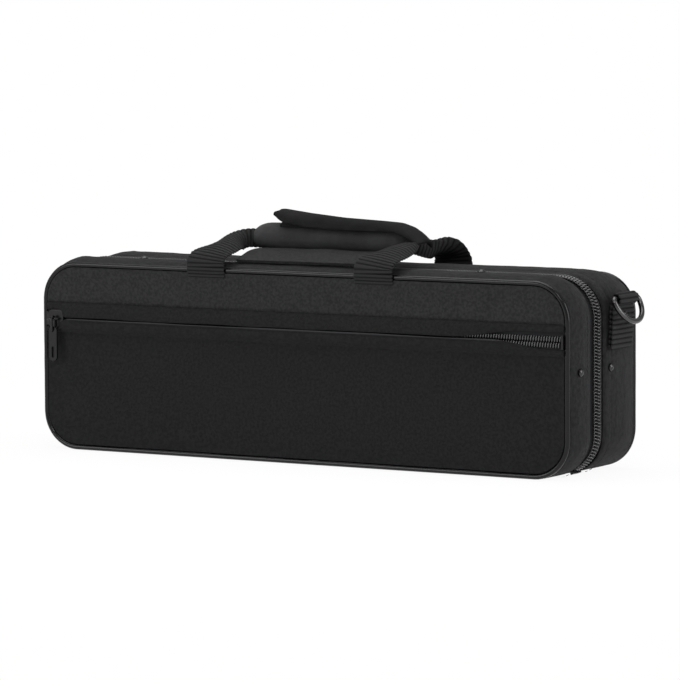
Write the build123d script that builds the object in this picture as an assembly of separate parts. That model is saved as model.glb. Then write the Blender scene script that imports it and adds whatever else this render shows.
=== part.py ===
"""Soft-shell flute case: two zipped half shells, a front pocket, a wrapped handle and two strap rings.

Millimetres. The case stands on its long narrow side: +X runs along its length, the pocket faces -Y and +Z is up.
The origin is the middle of the bottom face.
"""
from build123d import *
from math import cos, radians, sin
import os

os.makedirs("parts", exist_ok=True)

# ---- case ----------------------------------------------------------------------------------------------------

case_length = 420.0         # between the piping's outer edges
case_height = 132.0
case_depth = 96.0
corner_radius = 27.0        # of the piping's outer edge
lid_depth = 39.0            # front face to the zip's middle line
side_bulge = 3.0            # how far a padded side band swells past the piping
seam_inset = 0.6            # how far a side band's sewn edge lies inside the piping's outer edge
hem_rise = 0.3              # how far a side band's hem at the zip stands out from the case outline

panel_thickness = 1.0       # face panels
backing_thickness = 0.6     # lining behind the pocket's zip
gusset_wall = 2.2           # padded side bands
board_wall = 3.0            # stiff trays
layer_gap = 0.15            # between layers sewn or glued flat on each other
body_gap = 0.3              # between pieces that move apart

piping_diameter = 3.6
piping_proud = 0.8          # piping in front of the face panels
ground_lift = 0.3           # trim's height above the ground

# ---- main zip ------------------------------------------------------------------------------------------------

zip_opening = 20.0          # hem to hem
tape_thickness = 1.0
tape_sink = 1.6             # tape's outer face below the case outline
tooth_row = 4.6             # width of one row of teeth
tooth_height = 3.2
row_gap = 1.6               # between the rows, where a slider's neck runs
zip_end_angle = 21.0        # how far short of the bottom face the chain ends, round the corner
stop_angle = 5.0            # length of an end stop, round the corner
hinge_leaf_thickness = 1.2

# ---- inside --------------------------------------------------------------------------------------------------

lid_pad_depth = 24.0
cradle_setback = 2.0        # cradle's face behind the zip's middle line
recess_depth = 27.0
body_recess = (376.0, 36.0)     # length and width of the recess for each joint of the flute
head_recess = (230.0, 28.0)
foot_recess = (128.0, 32.0)
rod_recess = (300.0, 10.0)
rod_depth = 14.0
recess_wall = 8.0           # foam between recesses
notch_radius = 11.0         # finger notches
notch_depth = 18.0

# ---- pocket --------------------------------------------------------------------------------------------------

pocket_zip_drop = 40.0      # middle of the pocket's teeth below the case's top
pocket_opening = 20.0       # between the two panels' folded edges
pocket_tape_thickness = 0.6
pocket_row = 3.9            # width of one row of teeth
pocket_tooth_height = 2.2
pocket_stop_width = 1.5
pocket_slider_room = 1.3    # behind the tape, for the slider's rear plate

# ---- sliders and pulls ---------------------------------------------------------------------------------------

slider_clearance = 0.3      # slider to teeth and tape
pocket_slider_length = 13.0
pocket_plate = 0.8
pocket_flange = 1.2
pocket_bridge = (6.4, 1.6, 2.7)     # span, wire, height of the wire's middle above the plate
main_slider_length = 22.0
main_slider_height = 47.0   # middle of the slider above the ground, zip closed
main_plate = 1.2
main_flange = 1.6
main_bridge = (9.0, 1.8, 3.0)
link_wire = 1.3
link_reach = 6.5            # middle of the bridge to the middle of the tab's web
tab_web = 1.8               # metal between a tab's eye and its top edge
pocket_tab = (6.4, 24.0, 1.4)       # width, length, thickness
main_tab = (8.4, 24.0, 1.6)
main_loop_length = 8.0
tab_slot = (8.0, 2.2)       # length, width

# ---- rivets, rings and webbing -------------------------------------------------------------------------------

rivet_radius = 2.7
rivet_dome = 1.4
rivet_rim = 0.5
rivet_spacing_top = 270.0
rivet_drop_end = 60.5       # end rivets below the case's top
lid_rivet_setback = 12.0    # end rivets behind the front face
base_rivet_setback = 6.5    # end rivets behind the rear half's hem

webbing_width = 30.0
webbing_thickness = 1.8
ring_wire = 3.6
ring_corner = 3.0
ring_bow = 14.5             # depth of the ring's bowed side
ring_tilt = 27.0            # out from hanging straight down
ring_clearance = 0.3
fold_width = 26.0           # webbing gathered round a ring's bar
ring_side_room = 0.4        # ring's arms beyond the tab's edges
tab_middle_y = 18.0
tab_drop = 10.5             # tab's top below the case's top
tab_length = 38.0

# ---- handle --------------------------------------------------------------------------------------------------

feet_spacing = 134.0
foot_drop = 6.5             # a foot's sewn end below the piping's top
strap_rise = 6.5            # straight rise above the piping
grip_length = 118.0
grip_y = -1.0
grip_rise = 20.0            # grip's middle above the piping
grip_half_depth = 10.4
grip_half_height = 9.6
grip_round = 9.0
folded_strap = 14.0         # height of the folded webbing inside the grip
fold_reach = 2.0            # folded webbing beyond the middle of a leg
leg_taper = 32.0            # length over which a leg's edges are gathered in before the grip
patch_thickness = 0.8
patch_length = 92.0
patch_angles = (38.0, 92.0)     # from the front, over the top
flap_thickness = 2.2
flap_length = 116.0
flap_shift = 12.0
flap_angles = (22.0, 118.0)
flap_seam_angle = 10.0
zip_flap_length = 111.0
zip_flap_width = 24.0
zip_flap_corner = 10.0
zip_flap_angle = 20.0
zip_flap_thickness = 1.8
zip_flap_setback = 11.0     # sewn edge behind the front face

# ---- places worked out from them -----------------------------------------------------------------------------

front_y = -case_depth / 2
back_y = case_depth / 2
zip_y = front_y + lid_depth
lid_hem_y = zip_y - zip_opening / 2
base_hem_y = zip_y + zip_opening / 2
front_seam_y = front_y + piping_diameter + layer_gap
back_seam_y = back_y - piping_diameter - layer_gap
lid_crest_y = (front_seam_y + lid_hem_y) / 2
base_crest_y = (back_seam_y + base_hem_y) / 2
piping_radius = piping_diameter / 2
cut_reach = case_height / 2         # how far a cutting shape reaches past what it cuts
half_length = case_length / 2
face_grow = -piping_diameter - layer_gap        # face panels lie inside the piping
face_floor = ground_lift - face_grow
tray_grow = -gusset_wall - layer_gap
pocket_zip_height = case_height - pocket_zip_drop
lining_grow = -seam_inset + tray_grow - board_wall - layer_gap
lining_floor = gusset_wall + board_wall + 2 * layer_gap

panel_front = front_y + piping_proud            # outer face of the front panels
tape_back = panel_front + panel_thickness
backing_front = tape_back + pocket_slider_room
lid_wall_front = backing_front + backing_thickness + layer_gap
lid_wall_back = lid_wall_front + board_wall
back_panel_outer = back_y - piping_proud
base_wall_back = back_panel_outer - panel_thickness - layer_gap
base_wall_front = base_wall_back - board_wall

tab_bottom = case_height - tab_drop - tab_length
grip_height = case_height + grip_rise
strap_bend = 0.9 * strap_rise
foot_outer = front_y - layer_gap - webbing_thickness     # front face of a handle foot
strap_y = foot_outer + webbing_thickness / 2             # middle of a front strap's leg; the rear one mirrors it
handle_pivot = (foot_outer - body_gap, case_height + body_gap)
leg_middles = (-feet_spacing / 2, feet_spacing / 2)
rear_core_y = grip_y + grip_half_depth + body_gap + webbing_thickness


def save(shape, name):
    """Write one node."""
    shape.label = name
    export_step(shape, f"parts/{name}.step")


def outline(y, grow, floor):
    """A rounded rectangle in the plane y: the case outline grown at its top and ends, with its bottom at floor."""
    height = case_height + grow - floor
    plane = Plane(origin=(0, y, floor + height / 2), x_dir=(1, 0, 0), z_dir=(0, -1, 0))
    return plane * RectangleRounded(case_length + 2 * grow, height, corner_radius + grow)


def slab(grow, floor, y):
    """A rounded rectangle of one section between two depths."""
    return extrude(outline(y[0], grow, floor), amount=y[1] - y[0], dir=(0, 1, 0))


def block(x, y, z):
    """A box from three (low, high) pairs."""
    middle = [(low + high) / 2 for low, high in (x, y, z)]
    return Pos(*middle) * Box(x[1] - x[0], y[1] - y[0], z[1] - z[0])


lid_stations = [(front_seam_y, -seam_inset), (lid_crest_y, side_bulge), (lid_hem_y, hem_rise)]
base_stations = [(base_hem_y, hem_rise), (base_crest_y, side_bulge), (back_seam_y, -seam_inset)]


def lid_form(grow, floor):
    """The front half's side band as a full solid, swelling between its seam and its hem."""
    return loft([outline(y, grow + rise, floor) for y, rise in lid_stations])


def base_form(grow, floor):
    """The rear half's side band as a full solid."""
    return loft([outline(y, grow + rise, floor) for y, rise in base_stations])


def gusset(form):
    """A padded side band."""
    return form(0, 0) - form(-gusset_wall, gusset_wall)


def tray(form, wall):
    """A stiff tray inside a side band: a ring and the wall behind the face panel."""
    outer_floor = gusset_wall + layer_gap
    ring = form(tray_grow, outer_floor) - form(tray_grow - board_wall, outer_floor + board_wall)
    return ring + slab(face_grow, face_floor, wall)


def piping(y):
    """Round welt cord along a face's edge, y is its middle."""
    floor = ground_lift + piping_radius
    path = outline(y, -piping_radius, floor).face().outer_wire()
    profile = Plane(origin=path @ 0, z_dir=path % 0) * Circle(piping_radius)
    return sweep(profile, path)


# ---- main zip ------------------------------------------------------------------------------------------------

def below_zip(angle, y):
    """The region under the chain's two ends, angle degrees round the corners from straight down."""
    corner_x = half_length - corner_radius
    reach_x = corner_x + cut_reach * sin(radians(angle))
    reach_z = corner_radius - cut_reach * cos(radians(angle))
    corners = [(corner_x, corner_radius), (reach_x, reach_z), (-reach_x, reach_z), (-corner_x, corner_radius)]
    plane = Plane(origin=(0, y[0], 0), x_dir=(1, 0, 0), z_dir=(0, -1, 0))
    return extrude(plane * make_face(Polyline(*corners, close=True)), amount=y[1] - y[0], dir=(0, 1, 0))


def zip_ring(rise, thickness, y):
    """A band round the case between two depths; its outer face lies rise outside the case outline."""
    inner = rise - thickness
    return slab(rise, -rise, y) - slab(inner, -inner, y)


tooth_rise = tooth_height - tape_sink


def zip_half(tape_y, tooth_y):
    """Tape, teeth and end stops of one side of the main zip."""
    tape = zip_ring(-tape_sink, tape_thickness, tape_y) - below_zip(zip_end_angle, tape_y)
    chain = zip_ring(tooth_rise, tooth_height, tooth_y)
    teeth = chain - below_zip(zip_end_angle + stop_angle, tooth_y)
    stops = (chain - below_zip(zip_end_angle, tooth_y)) & below_zip(zip_end_angle + stop_angle, tooth_y)
    return tape, teeth, stops


def hinge_leaf(y):
    """One leaf of the fabric hinge, along the bottom and round its corners to the chain's ends."""
    band = slab(0, 0, y) - slab(-hinge_leaf_thickness, hinge_leaf_thickness, y)
    return band & below_zip(zip_end_angle, y)


lid_tape_y = (lid_hem_y, zip_y - row_gap / 2)
base_tape_y = (zip_y + row_gap / 2, base_hem_y)
lid_tooth_y = (zip_y - row_gap / 2 - tooth_row, zip_y - row_gap / 2)
base_tooth_y = (zip_y + row_gap / 2, zip_y + row_gap / 2 + tooth_row)
lid_tape, lid_teeth, lid_stops = zip_half(lid_tape_y, lid_tooth_y)
base_tape, base_teeth, base_stops = zip_half(base_tape_y, base_tooth_y)
lid_leaf = hinge_leaf((lid_hem_y, zip_y - body_gap / 2))
base_leaf = hinge_leaf((zip_y + body_gap / 2, base_hem_y))

# ---- shells --------------------------------------------------------------------------------------------------

lid_solid = lid_form(0, 0)
base_solid = base_form(0, 0)
lid_gusset = gusset(lid_form)
base_gusset = gusset(base_form)
lid_shell = tray(lid_form, (lid_wall_front, lid_wall_back))
base_shell = tray(base_form, (base_wall_front, base_wall_back))
front_panel = slab(face_grow, face_floor, (backing_front, backing_front + backing_thickness))
back_panel = slab(face_grow, face_floor, (back_panel_outer - panel_thickness, back_panel_outer))
lid_piping = piping(front_y + piping_radius)
base_piping = piping(back_y - piping_radius)

# ---- pocket --------------------------------------------------------------------------------------------------

pocket_low = pocket_zip_height - pocket_opening / 2
pocket_high = pocket_zip_height + pocket_opening / 2
face = slab(face_grow, face_floor, (panel_front, tape_back))
pocket_header = face - block((-cut_reach - half_length, half_length + cut_reach),
                             (front_y, lid_hem_y), (-cut_reach, pocket_high))
pocket_panel = face - block((-cut_reach - half_length, half_length + cut_reach),
                            (front_y, lid_hem_y), (pocket_low, case_height + cut_reach))
pocket_half = half_length + face_grow
pocket_row_inner = row_gap / 2
pocket_row_outer = pocket_row_inner + pocket_row
tape_front = tape_back - pocket_tape_thickness


def both_rows(x, y, z):
    """A bar above the pocket zip's middle line and its mirror image below; z is measured from that line."""
    upper = block(x, y, (pocket_zip_height + z[0], pocket_zip_height + z[1]))
    lower = block(x, y, (pocket_zip_height - z[1], pocket_zip_height - z[0]))
    return Compound([upper, lower])


pocket_tape = both_rows((-pocket_half, pocket_half), (tape_front, tape_back),
                        (pocket_row_inner, pocket_opening / 2))
tooth_reach = pocket_half - pocket_stop_width
pocket_tooth_y = (tape_front - pocket_tooth_height, tape_front)
pocket_teeth = both_rows((-tooth_reach, tooth_reach), pocket_tooth_y, (pocket_row_inner, pocket_row_outer))
pocket_stops = Compound([
    block(sorted((side * tooth_reach, side * pocket_half)), pocket_tooth_y,
          (pocket_zip_height - pocket_row_outer, pocket_zip_height + pocket_row_outer))
    for side in (-1, 1)
])

# ---- sliders and pulls ---------------------------------------------------------------------------------------


def round_wire(path, radius):
    """Sweep a round wire along a path."""
    return sweep(Plane(origin=path @ 0, z_dir=path % 0) * Circle(radius), path)


def bridge_arch(base, bridge):
    """A wire arch along X that stands on Z = base."""
    span, wire, height = bridge
    corners = [(-span / 2, base - wire / 4), (-span / 2, base + height), (span / 2, base + height),
               (span / 2, base - wire / 4)]
    path = Plane.XZ * FilletPolyline(*corners, radius=wire)
    return round_wire(path, wire / 2)


def zip_slider(length, row_width, teeth, tape, plate, flange, bridge, sides):
    """A slider on its own axes: X the way it closes the zip, Y across it, Z out of the case, Z = 0 on the tape.

    Two plates are joined by a neck between the rows, with a flange beside each row in sides and a bridge on top.
    """
    inner_half = row_gap / 2 + row_width + slider_clearance
    half_width = inner_half + flange
    top = teeth + slider_clearance
    bottom = -tape - slider_clearance
    shape = RectangleRounded(length, 2 * half_width, half_width * 0.6)
    upper = extrude(Pos(0, 0, top) * shape, amount=plate)
    upper = fillet(upper.faces().sort_by(Axis.Z)[-1].edges(), plate * 0.6)
    lower = extrude(Pos(0, 0, bottom) * shape, amount=-plate)
    neck_half = row_gap / 2 - slider_clearance
    body = upper + lower + block((length * 0.1, length * 0.42), (-neck_half, neck_half),
                                 (bottom - plate / 2, top + plate / 2))
    column = extrude(shape, amount=top + plate / 2)
    for side in sides:
        wall = block((-length / 2, length / 2), sorted((side * inner_half, side * half_width)),
                     (slider_clearance, top + plate / 2))
        body += wall & column
    return body + bridge_arch(top + plate, bridge)


def slotted_tab(top_z, tab):
    """A flat pull tab in the plane XZ with a slot near its lower end."""
    width, length, thickness = tab
    shape = Pos(0, top_z - length / 2) * RectangleRounded(width, length, width * 0.42)
    slot_z = top_z - length + width / 2 + tab_slot[0] / 2 - tab_slot[1] / 2
    shape -= Pos(0, slot_z) * Rot(0, 0, 90) * SlotOverall(*tab_slot)
    return extrude(Plane.XZ * shape, amount=thickness / 2, both=True)


def linked_pull(bridge, tab):
    """A tab on a wire link round the bridge's bar, which is the X axis; it hangs along -Z."""
    link_radius = bridge[1] / 2 + slider_clearance + link_wire / 2
    middle = Pos(0, -link_reach / 2) * Rot(0, 0, 90)
    path = (Plane.YZ * middle * SlotCenterToCenter(link_reach, 2 * link_radius)).face().outer_wire()
    link = round_wire(path, link_wire / 2)
    eye_radius = link_wire / 2 + slider_clearance
    eye = Pos(0, 0, -link_reach - link_radius) * Rot(90, 0, 0) * Cylinder(eye_radius, 3 * tab[2])
    top_z = -link_reach - link_radius + eye_radius + tab_web
    return Compound([link, slotted_tab(top_z, tab) - eye])


def looped_pull(bridge, tab):
    """A tab with a loop of its own; the loop's bar is the X axis, under the bridge, and it hangs along -Z."""
    half_width = bridge[1] / 2 + slider_clearance + link_wire / 2
    reach = main_loop_length
    path = (Plane.XZ * Pos(0, -reach / 2) * RectangleRounded(2 * half_width, reach, link_wire)).face().outer_wire()
    return round_wire(path, link_wire / 2) + slotted_tab(-reach + link_wire, tab)


pocket_slider_x = -tooth_reach + pocket_slider_length / 2 + body_gap
pocket_slider = Plane(origin=(pocket_slider_x, tape_front, pocket_zip_height), x_dir=(-1, 0, 0),
                      z_dir=(0, -1, 0)).location * zip_slider(
    pocket_slider_length, pocket_row, pocket_tooth_height, pocket_tape_thickness, pocket_plate, pocket_flange,
    pocket_bridge, (-1, 1))
pocket_bar_y = tape_front - pocket_tooth_height - slider_clearance - pocket_plate - pocket_bridge[2]
pocket_pull = Pos(pocket_slider_x, pocket_bar_y, pocket_zip_height) * linked_pull(pocket_bridge, pocket_tab)

main_tape_x = -(half_length - tape_sink)
main_slider = Plane(origin=(main_tape_x, zip_y, main_slider_height), x_dir=(0, 0, -1),
                    z_dir=(-1, 0, 0)).location * zip_slider(
    main_slider_length, tooth_row, tooth_height, tape_thickness, main_plate, main_flange, main_bridge, (-1,))
main_bar_x = main_tape_x - tooth_height - main_plate - main_tab[2] / 2 - 2 * slider_clearance
main_pull = Pos(main_bar_x, zip_y, main_slider_height) * Rot(0, 0, 90) * looped_pull(main_bridge, main_tab)

# ---- rivets --------------------------------------------------------------------------------------------------


def rise_at(stations, y):
    """How far a side band stands out at depth y, by the curve through its three stations."""
    total = 0.0
    for i, (here, rise) in enumerate(stations):
        weight = 1.0
        for j, (other, _) in enumerate(stations):
            if i != j:
                weight *= (y - other) / (here - other)
        total += weight * rise
    return total


def rivet():
    """A domed rivet head on the plane XY, with metal below it to be trimmed to its seat."""
    ball = (rivet_radius ** 2 + rivet_dome ** 2) / (2 * rivet_dome)
    column = Pos(0, 0, rivet_rim + rivet_dome / 2) * Cylinder(rivet_radius, rivet_dome)
    dome = column & (Pos(0, 0, rivet_rim + rivet_dome - ball) * Sphere(ball))
    return dome + Pos(0, 0, rivet_rim / 2 - rivet_dome / 2) * Cylinder(rivet_radius, rivet_rim + rivet_dome)


def end_rivets(stations, y, height, seat):
    """A rivet on each end of a half, trimmed to the side band."""
    x = half_length + rise_at(stations, y)
    right = Pos(x, y, height) * Rot(0, 90, 0) * rivet() - seat
    left = Pos(-x, y, height) * Rot(0, -90, 0) * rivet() - seat
    return [right, left]


lid_rivets = end_rivets(lid_stations, front_y + lid_rivet_setback, case_height - rivet_drop_end, lid_solid)
for side in (-1, 1):
    seat_z = case_height + rise_at(lid_stations, lid_crest_y)
    lid_rivets.append(Pos(side * rivet_spacing_top / 2, lid_crest_y, seat_z) * rivet() - lid_solid)
base_rivets = end_rivets(base_stations, base_hem_y + base_rivet_setback, case_height - rivet_drop_end, base_solid)

# ---- strap rings ---------------------------------------------------------------------------------------------

fold_inner = ring_wire / 2 + ring_clearance
fold_outer = fold_inner + webbing_thickness
ring_bar = (half_length + side_bulge + layer_gap + fold_outer, tab_bottom + tab_length - fold_outer)
ring_half = webbing_width / 2 + ring_side_room + ring_wire / 2
tab_y = (tab_middle_y - webbing_width / 2, tab_middle_y + webbing_width / 2)
fold_y = (tab_middle_y - fold_width / 2, tab_middle_y + fold_width / 2)


def d_ring():
    """A D-shaped ring of round wire: its bar is the Y axis and it hangs along -Z."""
    inner = ring_half - ring_corner
    with BuildLine(Plane.YZ) as line:
        Line((-inner, 0), (inner, 0))
        RadiusArc((inner, 0), (ring_half, -ring_corner), ring_corner)
        EllipticalCenterArc((0, -ring_corner), ring_half, ring_bow, start_angle=180, arc_size=180)
        RadiusArc((-ring_half, -ring_corner), (-inner, 0), ring_corner)
    return round_wire(line.wire(), ring_wire / 2)


def ring_tab():
    """Folded webbing on the right end: two layers that follow the side band, with a fold round the ring's bar."""
    layers = base_form(layer_gap + 2 * webbing_thickness, 0) - base_form(layer_gap, 0)
    layers &= block((half_length - corner_radius, half_length + cut_reach), tab_y, (tab_bottom, ring_bar[1]))
    fold = Pos(ring_bar[0], tab_middle_y, ring_bar[1]) * Rot(90, 0, 0) * Cylinder(fold_outer, fold_width)
    shoulder_back = half_length + side_bulge + layer_gap
    shoulder = block((shoulder_back, shoulder_back + 2 * webbing_thickness), fold_y,
                     (ring_bar[1] - 2 * fold_outer, ring_bar[1]))
    bore = Pos(ring_bar[0], tab_middle_y, ring_bar[1]) * Rot(90, 0, 0) * Cylinder(fold_inner, 2 * webbing_width)
    sweep_room = Pos(ring_bar[0], tab_middle_y, ring_bar[1]) * Rot(90, 0, 0) * Cylinder(
        fold_inner + ring_wire / 2, 2 * webbing_width)
    sides = sweep_room - block((0, 2 * half_length), fold_y, (0, 2 * case_height))
    return layers + fold + shoulder - base_form(layer_gap, 0) - bore - sides


right_tab = ring_tab()
tab_rivet_z = ring_bar[1] - 3 * fold_outer
tab_rivet_x = half_length + side_bulge + layer_gap + 2 * webbing_thickness
right_ring = Pos(ring_bar[0], tab_middle_y, ring_bar[1]) * Rot(0, -ring_tilt, 0) * d_ring()
right_tab_rivet = Pos(tab_rivet_x - rivet_rim, tab_middle_y, tab_rivet_z) * Rot(0, 90, 0) * rivet() - right_tab

# ---- inside --------------------------------------------------------------------------------------------------

lid_pad = slab(lining_grow, lining_floor, (lid_wall_back + layer_gap, lid_wall_back + layer_gap + lid_pad_depth))
cradle_face = zip_y + cradle_setback
cradle = slab(lining_grow, lining_floor, (cradle_face, base_wall_front - layer_gap))


def recess(size, x, z, depth):
    """A round-cornered recess in the cradle, size is its length and width."""
    shape = Pos(x, -z) * RectangleRounded(size[0], size[1], min(size) * 0.4)
    plane = Plane(origin=(0, cradle_face, 0), x_dir=(1, 0, 0), z_dir=(0, 1, 0))
    return extrude(plane * shape, amount=depth)


def notch(x, z):
    """A finger notch, a round well across a recess's edge."""
    return Pos(x, cradle_face + notch_depth / 2, z) * Rot(90, 0, 0) * Cylinder(notch_radius, notch_depth)


lower_width = max(head_recess[1], foot_recess[1])
stack_height = body_recess[1] + rod_recess[1] + lower_width + 2 * recess_wall
stack_bottom = (case_height - stack_height) / 2
lower_z = stack_bottom + lower_width / 2
rod_z = stack_bottom + lower_width + recess_wall + rod_recess[1] / 2
body_z = case_height - stack_bottom - body_recess[1] / 2
row_start = -(head_recess[0] + recess_wall + foot_recess[0]) / 2
head_x = row_start + head_recess[0] / 2
foot_x = -row_start - foot_recess[0] / 2
cradle -= recess(body_recess, 0, body_z, recess_depth)
cradle -= recess(head_recess, head_x, lower_z, recess_depth)
cradle -= recess(foot_recess, foot_x, lower_z, recess_depth)
cradle -= recess(rod_recess, 0, rod_z, rod_depth)
cradle -= notch(-body_recess[0] / 4, body_z + body_recess[1] / 2)
cradle -= notch(body_recess[0] / 4, body_z + body_recess[1] / 2)
cradle -= notch(head_x, lower_z - head_recess[1] / 2)
cradle -= notch(foot_x, lower_z - foot_recess[1] / 2)

# ---- handle --------------------------------------------------------------------------------------------------

front_core_y = grip_y - webbing_thickness
core_low = grip_height - folded_strap / 2
core_high = grip_height + folded_strap / 2


def handle_strap(side, core_y):
    """One handle's webbing above its feet: two legs and the folded length between them; side is -1 in front."""
    seam_y = -side * strap_y
    corners = [(seam_y, case_height + body_gap), (seam_y, case_height + strap_rise), (core_y, grip_height)]
    leg_face = Plane.YZ * trace(FilletPolyline(*corners, radius=strap_bend), webbing_thickness)
    core_half = feet_spacing / 2 + fold_reach
    strap = block((-core_half, core_half), (core_y - webbing_thickness, core_y + webbing_thickness),
                  (core_low, core_high))
    legs = Pos(feet_spacing / 2 - webbing_width / 2, 0, 0) * extrude(leg_face, amount=webbing_width, dir=(1, 0, 0))
    inner = feet_spacing / 2 - webbing_width / 2
    outward = grip_length / 2 + body_gap
    back = core_y - side * webbing_thickness
    edge = Polyline((0, core_y + side * leg_taper), (inner, core_y + side * leg_taper),
                    (outward, core_y + side * grip_half_depth), (outward, back), (0, back), close=True)
    legs -= extrude(make_face(edge), amount=2 * case_height)
    outer = feet_spacing / 2 + webbing_width / 2
    far = (half_length, back)
    edge = Polyline((outer, core_y + side * leg_taper), (core_half, core_y + side * webbing_thickness),
                    (core_half, back), far, (half_length, core_y + side * leg_taper), close=True)
    legs -= extrude(make_face(edge), amount=2 * case_height)
    return strap + legs + mirror(legs, Plane.YZ)


def handle_feet(side):
    """The sewn ends of one handle, on the case's face; side is -1 in front."""
    feet = []
    for middle in leg_middles:
        x = (middle - webbing_width / 2, middle + webbing_width / 2)
        inner = side * (-strap_y - webbing_thickness / 2)
        outer = side * (-strap_y + webbing_thickness / 2)
        seat = side * (-panel_front + layer_gap)
        upper = block(x, sorted((inner, outer)), (case_height - foot_drop, case_height))
        lower = block(x, sorted((seat, outer)), (case_height - foot_drop, case_height - piping_diameter - layer_gap))
        feet.append(upper + lower)
    return Compound(feet)


def grip_section(grow):
    """The grip's outline across the handle."""
    shape = RectangleRounded(2 * (grip_half_depth + grow), 2 * (grip_half_height + grow), grip_round + grow)
    return Plane.YZ * Pos(grip_y, grip_height) * shape


def grip_wedge(angles):
    """The sector between two angles about the grip's middle, from the front over the top."""
    def at(angle):
        return (grip_y - cut_reach * cos(radians(angle)), grip_height + cut_reach * sin(radians(angle)))
    middle_angle = sum(angles) / 2
    return Plane.YZ * make_face(Polyline((grip_y, grip_height), at(angles[0]), at(middle_angle), at(angles[1]),
                                         close=True))


def grip_layer(low, high, angles, length, shift=0.0):
    """A layer over the grip between two heights above it and two angles about it."""
    face = (grip_section(high) - grip_section(low)) & grip_wedge(angles)
    return Pos(shift - length / 2, 0, 0) * extrude(face, amount=length, dir=(1, 0, 0))


front_strap = handle_strap(-1, front_core_y)
rear_strap = handle_strap(1, rear_core_y)
sleeve_face = grip_section(0) - Plane.YZ * Pos(front_core_y, grip_height) * Rectangle(
    2 * (webbing_thickness + layer_gap), folded_strap + 2 * layer_gap)
grip_sleeve = Pos(-grip_length / 2, 0, 0) * extrude(sleeve_face, amount=grip_length, dir=(1, 0, 0))
flap_base = 2 * patch_thickness + body_gap
seam_angles = (flap_angles[1] - flap_seam_angle, flap_angles[1])
seam_length = min(flap_length, grip_length) - 2 * flap_shift
grip_sleeve += grip_layer(-webbing_thickness / 2, flap_base - body_gap, seam_angles, seam_length)
grip_flap = grip_layer(flap_base, flap_base + flap_thickness, flap_angles, flap_length, flap_shift)
hook_patch = grip_layer(0, patch_thickness, patch_angles, patch_length)
loop_patch = grip_layer(flap_base - patch_thickness, flap_base, patch_angles, patch_length)

zip_flap_root = (front_y + zip_flap_setback, case_height + side_bulge + zip_flap_thickness / 2 + layer_gap)
slope = radians(zip_flap_angle)
flap_plane = Plane(origin=(0, *zip_flap_root), x_dir=(1, 0, 0), z_dir=(0, -sin(slope), cos(slope)))
tongue = Pos(0, zip_flap_width / 2) * Rectangle(zip_flap_length, zip_flap_width)
tongue = fillet(tongue.vertices().group_by(Axis.Y)[-1], zip_flap_corner)
zip_flap = extrude(flap_plane * tongue, amount=zip_flap_thickness / 2, both=True)

# ---- write ---------------------------------------------------------------------------------------------------

across = Plane.YZ
nodes = {
    "base_shell": base_shell,
    "base_gusset": base_gusset,
    "back_panel": back_panel,
    "base_piping": base_piping,
    "flute_cradle": cradle,
    "base_zip_tape": base_tape,
    "base_zip_coil": base_teeth,
    "base_zip_stops": base_stops,
    "base_hinge_leaf": base_leaf,
    "base_rivets": Compound(base_rivets),
    "rear_handle_feet": handle_feet(1),
    "right_ring_tab": right_tab,
    "left_ring_tab": mirror(right_tab, across),
    "tab_rivets": Compound([right_tab_rivet, mirror(right_tab_rivet, across)]),
    "right_d_ring": right_ring,
    "left_d_ring": mirror(right_ring, across),
    "main_slider": main_slider,
    "main_pull": main_pull,
    "rear_handle_strap": rear_strap,
    "lid_shell": lid_shell,
    "lid_gusset": lid_gusset,
    "front_panel": front_panel,
    "lid_piping": lid_piping,
    "lid_pad": lid_pad,
    "lid_zip_tape": lid_tape,
    "lid_zip_coil": lid_teeth,
    "lid_zip_stops": lid_stops,
    "lid_hinge_leaf": lid_leaf,
    "lid_rivets": Compound(lid_rivets),
    "front_handle_feet": handle_feet(-1),
    "zip_flap": zip_flap,
    "pocket_header": pocket_header,
    "pocket_panel": pocket_panel,
    "pocket_zip_tape": pocket_tape,
    "pocket_zip_coil": pocket_teeth,
    "pocket_zip_stops": pocket_stops,
    "pocket_slider": pocket_slider,
    "pocket_pull": pocket_pull,
    "front_handle_strap": front_strap,
    "grip_sleeve": grip_sleeve,
    "grip_hook_patch": hook_patch,
    "grip_flap": grip_flap,
    "grip_loop_patch": loop_patch,
}
for name, shape in nodes.items():
    save(shape, name)
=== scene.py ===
"""Flute case: cloth sides, welt cord, zips, webbing, padded grip and plush inside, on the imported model."""

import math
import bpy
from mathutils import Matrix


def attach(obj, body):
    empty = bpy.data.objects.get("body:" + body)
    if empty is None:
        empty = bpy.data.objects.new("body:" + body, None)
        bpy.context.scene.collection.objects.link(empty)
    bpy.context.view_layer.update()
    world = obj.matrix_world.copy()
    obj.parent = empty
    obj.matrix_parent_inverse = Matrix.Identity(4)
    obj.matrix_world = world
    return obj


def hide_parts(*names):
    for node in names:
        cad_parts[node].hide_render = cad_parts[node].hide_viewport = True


bl_info = {
    "name": "Flute Case",
    "version": (1, 0, 0),
    "blender": (4, 5, 0),
    "location": "View3D > Sidebar > Flute Case",
    "description": "Builds the cloth, trim and lining of a zipped flute case",
    "category": "Object",
}

import bpy
from mathutils import Euler, Matrix, Vector, noise

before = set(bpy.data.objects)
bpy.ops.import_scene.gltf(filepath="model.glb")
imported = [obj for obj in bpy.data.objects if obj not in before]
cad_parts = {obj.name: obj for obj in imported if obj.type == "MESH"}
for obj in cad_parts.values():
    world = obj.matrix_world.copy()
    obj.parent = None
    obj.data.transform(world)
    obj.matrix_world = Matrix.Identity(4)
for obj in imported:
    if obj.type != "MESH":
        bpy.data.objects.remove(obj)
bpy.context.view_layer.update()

# ---- the case's own lengths: X runs to its right, Y to its back, Z up, and a girth along its outline ----

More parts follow.
